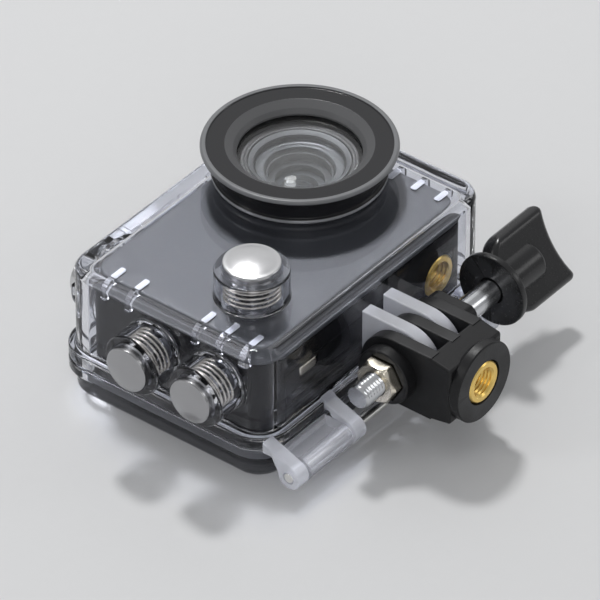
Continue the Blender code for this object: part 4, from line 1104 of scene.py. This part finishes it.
def lens_front(ring_paint, trim, glass):
    """Lens ring with a sloped metal trim and the front glass in it."""
    low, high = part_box("lens_barrel")
    bore = GLASS_R - GLASS_LEDGE
    body_r = bore + LENS_WALL
    glass_low, glass_high = [corner.z for corner in FRONT_GLASS]
    seat = glass_low - GAP
    shelf = high.z - TRIM_DEPTH
    ring_top = high.z - LENS_STEP
    inner = GLASS_R + GAP
    outer = inner + TRIM_WIDTH
    lip = LENS_R - LENS_LIP
    barrel = stairs(body_r, low.z, FACE_Z + GAP, LENS_R, high.z, lip)
    barrel += stairs(lip - LENS_STEP, ring_top, outer + GAP, shelf, inner, seat, bore, low.z, flat=True)
    dress(lens_ring("lens_ring", barrel, LENS_ROUND), ring_paint, "housing", "gloss_black", "lens_barrel")
    trim_low = shelf + GAP / 3
    section = [(outer, trim_low), (outer, ring_top), (inner + GAP / 3, trim_low)]
    dress(lens_ring("lens_trim", section, TRIM_ROUND), trim, "housing", "chrome")
    front = meniscus("front_glass", GLASS_R, glass_low, GLASS_EDGE, glass_high - glass_low - GLASS_EDGE)
    dress(front, glass, "housing", "port_glass", "lens_front_glass")


def lens_inside(satin, glass):
    """Stepped cell behind the front glass, and two glasses deep in it."""
    low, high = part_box("lens_cell")
    cell_r = (high.x - low.x) / 2
    throat = cell_r / 3
    mouth = cell_r - CELL_EDGE
    moves = [high.z]
    for step in range(CELL_STEPS):
        moves += [mouth - (mouth - throat) * step / CELL_STEPS, high.z - CELL_DROP * (step + 1)]
    rings = stairs(cell_r, low.z, *moves, throat, low.z)
    dress(lens_ring("lens_rings", rings, CELL_ROUND), satin, "housing", "gloss_black", "lens_cell")
    deep_glasses = (
        ("second_glass", cell_r - SECOND_GLASS_INSET, high.z - CELL_DROP),
        ("third_glass", throat + THIRD_GLASS_OVER, high.z - THIRD_GLASS_DROPS * CELL_DROP),
    )
    for name, radius, top in deep_glasses:
        dress(meniscus(name, radius, top - DEEP_RISE, DEEP_EDGE, DEEP_RISE), glass, "housing", "port_glass")


def mount_adapter(material):
    """Three leaves on a body with a round foot, a screw block and a nut boss."""
    leaf_r = PRONG_R - GAP
    root = MOUNT.y - ADAPTER_START
    far = root - ADAPTER_BODY - ROOT
    low, high = MOUNT.z - leaf_r, MOUNT.z + leaf_r
    body = [(root, low), (root, high), (far, high - ROOT), (far, low + ROOT)]
    body = softened(body, ADAPTER_ROUND, closed=True)
    adapter = bar("black_mount", body, -LEAF_OUTER, LEAF_OUTER, edge=SOFT_ROUND)
    leaf = tongue(root - ROOT, MOUNT, leaf_r, MEDIUM)
    middle = PRONG_PITCH / 2 - PRONG_THICK / 2 - GAP
    inner = LEAF_OUTER - ADAPTER_LEAF
    spans = ((-LEAF_OUTER, -inner), (-middle, middle), (inner, LEAF_OUTER))
    added = [bar(f"leaf_{start}", leaf, start, end, edge=LIGHT_ROUND) for start, end in spans]
    axis = axis_at(MOUNT)
    outward = Matrix.Translation((0, MOUNT.y, MOUNT.z)) @ ALONG_Y
    foot_top = -ADAPTER_END + ADAPTER_FOOT
    foot = stairs(AXIS_R, -ADAPTER_END, FOOT_R, foot_top - ROOT, flat=True)
    foot += [(FOOT_R - ROOT, foot_top), (AXIS_R, foot_top)]
    block = [(u * BLOCK_HALF, v * BLOCK_HALF) for u, v in ((-1, -1), (1, -1), (1, 1), (-1, 1))]
    block = softened(block, BLOCK_CORNER, closed=True)
    boss = stairs(AXIS_R, -LEAF_OUTER + ROOT, BOSS_R, -LEAF_OUTER - BOSS_LENGTH, AXIS_R, flat=True)
    added += [
        turned("foot", softened(foot, LIGHT_ROUND), outward),
        bar("block", block, LEAF_OUTER - ROOT, LEAF_OUTER + BLOCK_LENGTH, axis, SOFT_ROUND),
        turned("boss", softened(boss, SMALL_ROUND), axis, MEDIUM),
    ]
    pocket = [level(hexagon(NUT_ACROSS / 2 + GAP), NUT[1].x + GAP - depth) for depth in (2 * NUT_ACROSS, 0)]
    removed = [
        rod("bore", SCREW_R + GAP, -HALF_W, HALF_W, axis),
        loft("nut_pocket", pocket, axis),
        rod("insert_bore", INSERT_R + GAP, -ADAPTER_END - PAST, -ADAPTER_END + INSERT_DEPTH + GAP, outward),
    ]
    merge(adapter, added, removed)
    dress(adapter, material, "mount", "satin_black", "mount_adapter")


def hexagon(half_across):
    """Points of a hexagon, as many as a rod of medium fineness has."""
    points = []
    for step in range(MEDIUM):
        angle = 2 * math.pi * step / MEDIUM
        radius = half_across / math.cos(angle % (math.pi / 3) - math.pi / 6)
        points.append((radius * math.cos(angle), radius * math.sin(angle)))
    return points


def hex_nut(material):
    """Nut with chamfered corners on both faces."""
    low, high = NUT[0].x, NUT[1].x
    half = NUT_ACROSS / 2
    face = half - NUT_FACE_INSET
    corner = half / math.cos(math.pi / 6)
    loops = []
    for x, limit in ((low, face), (low + NUT_CHAMFER, corner), (high - NUT_CHAMFER, corner), (high, face)):
        loop = []
        for u, v in hexagon(half):
            shrink = min(1.0, limit / math.hypot(u, v))
            loop.append((u * shrink, v * shrink, x))
        loops.append(loop)
    loops += [level(circle(SCREW_R + GAP / 3, MEDIUM), x) for x in (high, low)]
    dress(loft("hex_nut", loops, axis_at(MOUNT), closed=True), material, "mount", "steel", "adapter_nut")


def threaded(name, radius, depth, place, material, body, node):
    """A brass ring with screw-thread ridges in its bore."""
    ridges = 2 * round(depth / THREAD_PITCH)
    groove = INSERT_BORE + THREAD_DEPTH
    profile = [(groove, 0), (radius - INSERT_CHAMFER, 0), (radius, INSERT_CHAMFER)]
    profile += [(radius, depth - INSERT_CHAMFER), (radius - INSERT_CHAMFER, depth), (groove, depth)]
    for ridge in range(ridges - 1, 0, -1):
        profile.append((INSERT_BORE if ridge % 2 else groove, depth * ridge / ridges))
    dress(turned(name, profile, place, MEDIUM, closed=True), material, body, "brass", node)


def tripod_threads(material):
    """The insert in the mount's foot and the nut in the camera's bottom."""
    outward = Matrix.Translation((0, MOUNT.y - ADAPTER_END, MOUNT.z)) @ ALONG_Y
    threaded("brass_insert", INSERT_R, INSERT_DEPTH, outward, material, "mount", "adapter_insert")
    low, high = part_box("tripod_nut")
    inward = Matrix.Translation(((low.x + high.x) / 2, low.y, (low.z + high.z) / 2)) @ ALONG_Y
    threaded("brass_nut", (high.x - low.x) / 2, high.y - low.y, inward, material, "housing", "tripod_nut")


def long_screw(steel):
    """The thumb screw's shaft, with a rolled thread at its end."""
    start, end = SCREW[0].x, NUT[1].x + THREAD_PAST_NUT
    count = round((end - start) / THREAD_PITCH * THREAD_ROWS)
    loops = []
    for row in range(count + 1):
        x = start + (end - start) * row / count
        depth = THREAD_DEPTH * max(0.0, min(1.0, (x - start) / THREAD_RUNOUT, (end - x) / THREAD_RUNOUT))
        taper = SCREW_TAPER * max(0.0, 1 - (x - start) / SCREW_TAPER_LENGTH)
        loop = []
        for step in range(MEDIUM):
            angle = 2 * math.pi * step / MEDIUM
            phase = (x / THREAD_PITCH - step / MEDIUM) % 1.0
            radius = SCREW_R - abs(2 * phase - 1) * depth - taper
            loop.append((radius * math.cos(angle), radius * math.sin(angle), x))
        loops.append(loop)
    loops.append(level(circle(SCREW_R, MEDIUM), SCREW[1].x))
    dress(loft("long_screw", loops, SCREW_AXIS), steel, "thumb_screw", "steel", "screw_shaft")


def wing_knob(black):
    """The thumb screw's knob: a flange, a hub and a wing with two tips."""
    base = SCREW[1].x - KNOB_SEAT
    root = base + KNOB_FLANGE
    hub_end = root + KNOB_HUB
    hub = stairs(AXIS_R, base, KNOB_FLANGE_R, root, KNOB_HUB_R, hub_end - KNOB_HUB_R / 2, flat=True)
    hub += [(KNOB_HUB_R / 2, hub_end), (AXIS_R / 2, hub_end)]
    rounds = [0, LIGHT_ROUND, LIGHT_ROUND, KNOB_CREASE, KNOB_END_ROUND, KNOB_END_ROUND, 0]
    knob = turned("wing_knob", softened(hub, rounds), SCREW_AXIS)
    wing = loft("wing", wing_sections(root - ROOT), SCREW_AXIS)
    seat = rod("seat", SCREW_R + GAP, base - PAST, base + KNOB_SEAT + GAP, SCREW_AXIS)
    merge(knob, [wing], [seat])
    dress(knob, black, "thumb_screw", "satin_black", "thumb_knob")


def wing_sections(root):
    """Rounded sections of the wing from tip to tip."""
    loops = []
    half = KNOB_WING_THICK / 2
    for step in range(WING_STEPS + 1):
        share = -math.cos(math.pi * step / WING_STEPS)
        end = max(0.0, (abs(share) - WING_FULL) / (1 - WING_FULL))
        full = math.sqrt(max(0.0, 1 - end ** 2))
        inset = half * (1 - full) * WING_TIP_INSET
        low = root + KNOB_SHOULDER * share ** 2 + inset
        high = root + KNOB_WING - KNOB_NOTCH * (1 - share ** 2) - inset
        thick = max(WING_LEAST, half * full)
        centre = (low + high) / 2
        section = rounded_rectangle((high - low) / 2, thick, thick * WING_CORNER, 0)
        loops.append([(y, KNOB_WING_HALF * share, centre + x) for x, y, _ in section])
    return loops


def dress_nodes(paints):
    """Materials of the CAD nodes that show as they are."""
    wear = {
        "silicone": ("door_gasket",),
        "rubber": ("port_seal", *[f"{name}_seal" for name in BUTTONS]),
        "steel": ("latch_pin",),
        "connector": ("connector_block",),
        "pin": ("hinge_pin",),
        "nickel": ("door_catch",),
        "clip": [f"{name}_clip" for name in BUTTONS],
        "key": [f"{name}_key" for name in BUTTONS],
        "face": ("camera_face",),
        "satin": ("camera_frame", "camera_back", "battery_door", "memory_card"),
        "screen": ("display",),
        "chip": ("image_sensor",),
        "board": ("main_board", "key_board"),
        "battery": ("battery",),
    }
    edges = {"clip": TINY_ROUND, "rubber": TINY_ROUND, "nickel": SOFT_ROUND}
    for paint, nodes in wear.items():
        for node in nodes:
            dress_node(node, paints[paint], edges.get(paint, FINE_ROUND))


def stage():
    """Pale floor, soft lamps, and the camera at the photograph's angle."""
    scene = bpy.context.scene
    mesh = bmesh.new()
    bmesh.ops.create_grid(mesh, x_segments=1, y_segments=1, size=FLOOR_SIZE)
    floor = solid("floor", mesh)
    floor.data.materials.append(pale_floor())

    scene.world = bpy.data.worlds.new("studio")
    scene.world.use_nodes = True
    sky = scene.world.node_tree.nodes["Background"]
    sky.inputs["Color"].default_value = SKY_COLOUR
    sky.inputs["Strength"].default_value = SKY_STRENGTH

    for name, (place, size, power) in LAMPS.items():
        lamp = bpy.data.lights.new(name, "AREA")
        lamp.shape = "DISK"
        lamp.size = size
        lamp.energy = power
        item = linked(name, lamp)
        item.location = place
        item.rotation_euler = (-Vector(place)).to_track_quat("-Z", "Y").to_euler()

    flat = math.cos(VIEW_ELEVATION)
    back = Vector((math.sin(VIEW_AZIMUTH) * flat, -math.cos(VIEW_AZIMUTH) * flat, math.sin(VIEW_ELEVATION)))
    eye = linked("eye", bpy.data.cameras.new("eye"))
    eye.data.sensor_width = SENSOR_WIDTH
    eye.data.lens = SENSOR_WIDTH / 2 * VIEW_DISTANCE / VIEW_HALF
    eye.data.clip_end = VIEW_FAR
    eye.location = VIEW_AIM + back * VIEW_DISTANCE
    eye.rotation_euler = (-back).to_track_quat("-Z", "Y").to_euler()
    scene.camera = eye
    scene.view_settings.view_transform = "Standard"


def make_paints():
    """Every material of the part, by its use."""
    along_x = (0.2, 3, 3)
    return {
        "clear": clear_polycarbonate(),
        "matt": matt_polycarbonate_painted_sheen("matt_polycarbonate_painted_sheen", 0.4),
        "barrel": matt_polycarbonate_painted_sheen("barrel_polycarbonate", 0.18),
        # Near-white pads: painted glints on the ribs.
        "pads": frosted_glint_pads(),
        "glass": clear_glass("window_glass", (0.95, 0.955, 0.96)),
        "lens_glass": clear_glass("lens_glass", (0.86, 0.88, 0.90)),
        "gloss": gloss_black(),
        "bezel": bezel_black(),
        "satin": black_plastic("satin_black", (0.008, 0.008, 0.009), 0.46, 2600, 0.01 * MM, 0.1),
        "mount": black_plastic("mount_black", (0.010, 0.010, 0.011), 0.40, 1900, 0.05 * MM, 0.3),
        "key": black_plastic("key_grey", (0.10, 0.10, 0.11), 0.40, 2600, 0.03 * MM),
        "ring": black_plastic("ring_grey", (0.070, 0.071, 0.075), 0.34, 3000, 0.01 * MM),
        "cell": black_plastic("cell_black", (0.012, 0.012, 0.014), 0.50, 3000, 0.01 * MM),
        "knob": black_plastic("knob_black", (0.013, 0.013, 0.014), 0.25, 1900, 0.001 * MM),
        "face": face_grey(),
        "chrome": metal("chrome", (0.66, 0.66, 0.67), 0.20, 900),
        # A darker copy of the chrome for the side caps: painted shade standing in for the dark reflections in
        # their faces.
        "shaded_side_chrome": metal("shaded_side_chrome", (0.40, 0.40, 0.41), 0.20, 900),
        "trim": metal("trim_metal", (0.36, 0.37, 0.39), 0.36, 900),
        "steel": metal("nickel_steel", (0.64, 0.65, 0.67), 0.20, 700, along_x),
        "pin": metal("pin_steel", (0.92, 0.91, 0.88), 0.22, 700, along_x),
        "clip": metal("clip_steel", (0.60, 0.61, 0.63), 0.26, 900),
        "nickel": metal("warm_nickel", (0.86, 0.80, 0.68), 0.22, 700, along_x),
        "wire": metal("spring_wire", (0.76, 0.72, 0.65), 0.24, 900),
        "brass": metal("brass", (0.94, 0.66, 0.20), 0.28, 900, (3, 1, 3)),
        "connector": connector_metal(),
        "rubber": soft_seal("seal_rubber", (0.03, 0.03, 0.03), 0.70),
        "silicone": soft_seal("pale_silicone", (0.78, 0.80, 0.83), 0.50),
        "board": circuit_board(),
        "screen": screen_glass(),
        "chip": image_chip(),
        "battery": battery_wrap(),
    }


def main():
    """Builds every piece, then the stage."""
    paints = make_paints()
    buttons = [Button(name) for name in BUTTONS]
    front_shell(paints["clear"], buttons)
    locating_ribs(paints["clear"])
    # Near-white sheets that paint the ribs' glints.
    rib_glint_pads(paints["pads"])
    prongs(paints["matt"])
    hinge_lugs(paints["matt"])
    back_door(paints["clear"], paints["barrel"])
    lens_port(paints["gloss"], paints["bezel"], paints["glass"])
    latch_lever(paints["clear"])
    lens_front(paints["ring"], paints["trim"], paints["lens_glass"])
    lens_inside(paints["cell"], paints["lens_glass"])
    for button in buttons:
        # The side caps take the darker chrome copy, with painted shade in their reflections.
        button.plunger(paints["shaded_side_chrome" if button.outward.x else "chrome"])
        button.spring(paints["wire"])
    mount_adapter(paints["mount"])
    hex_nut(paints["nickel"])
    tripod_threads(paints["brass"])
    long_screw(paints["steel"])
    wing_knob(paints["knob"])
    dress_nodes(paints)
    stage()


main()
bpy.context.view_layer.update()
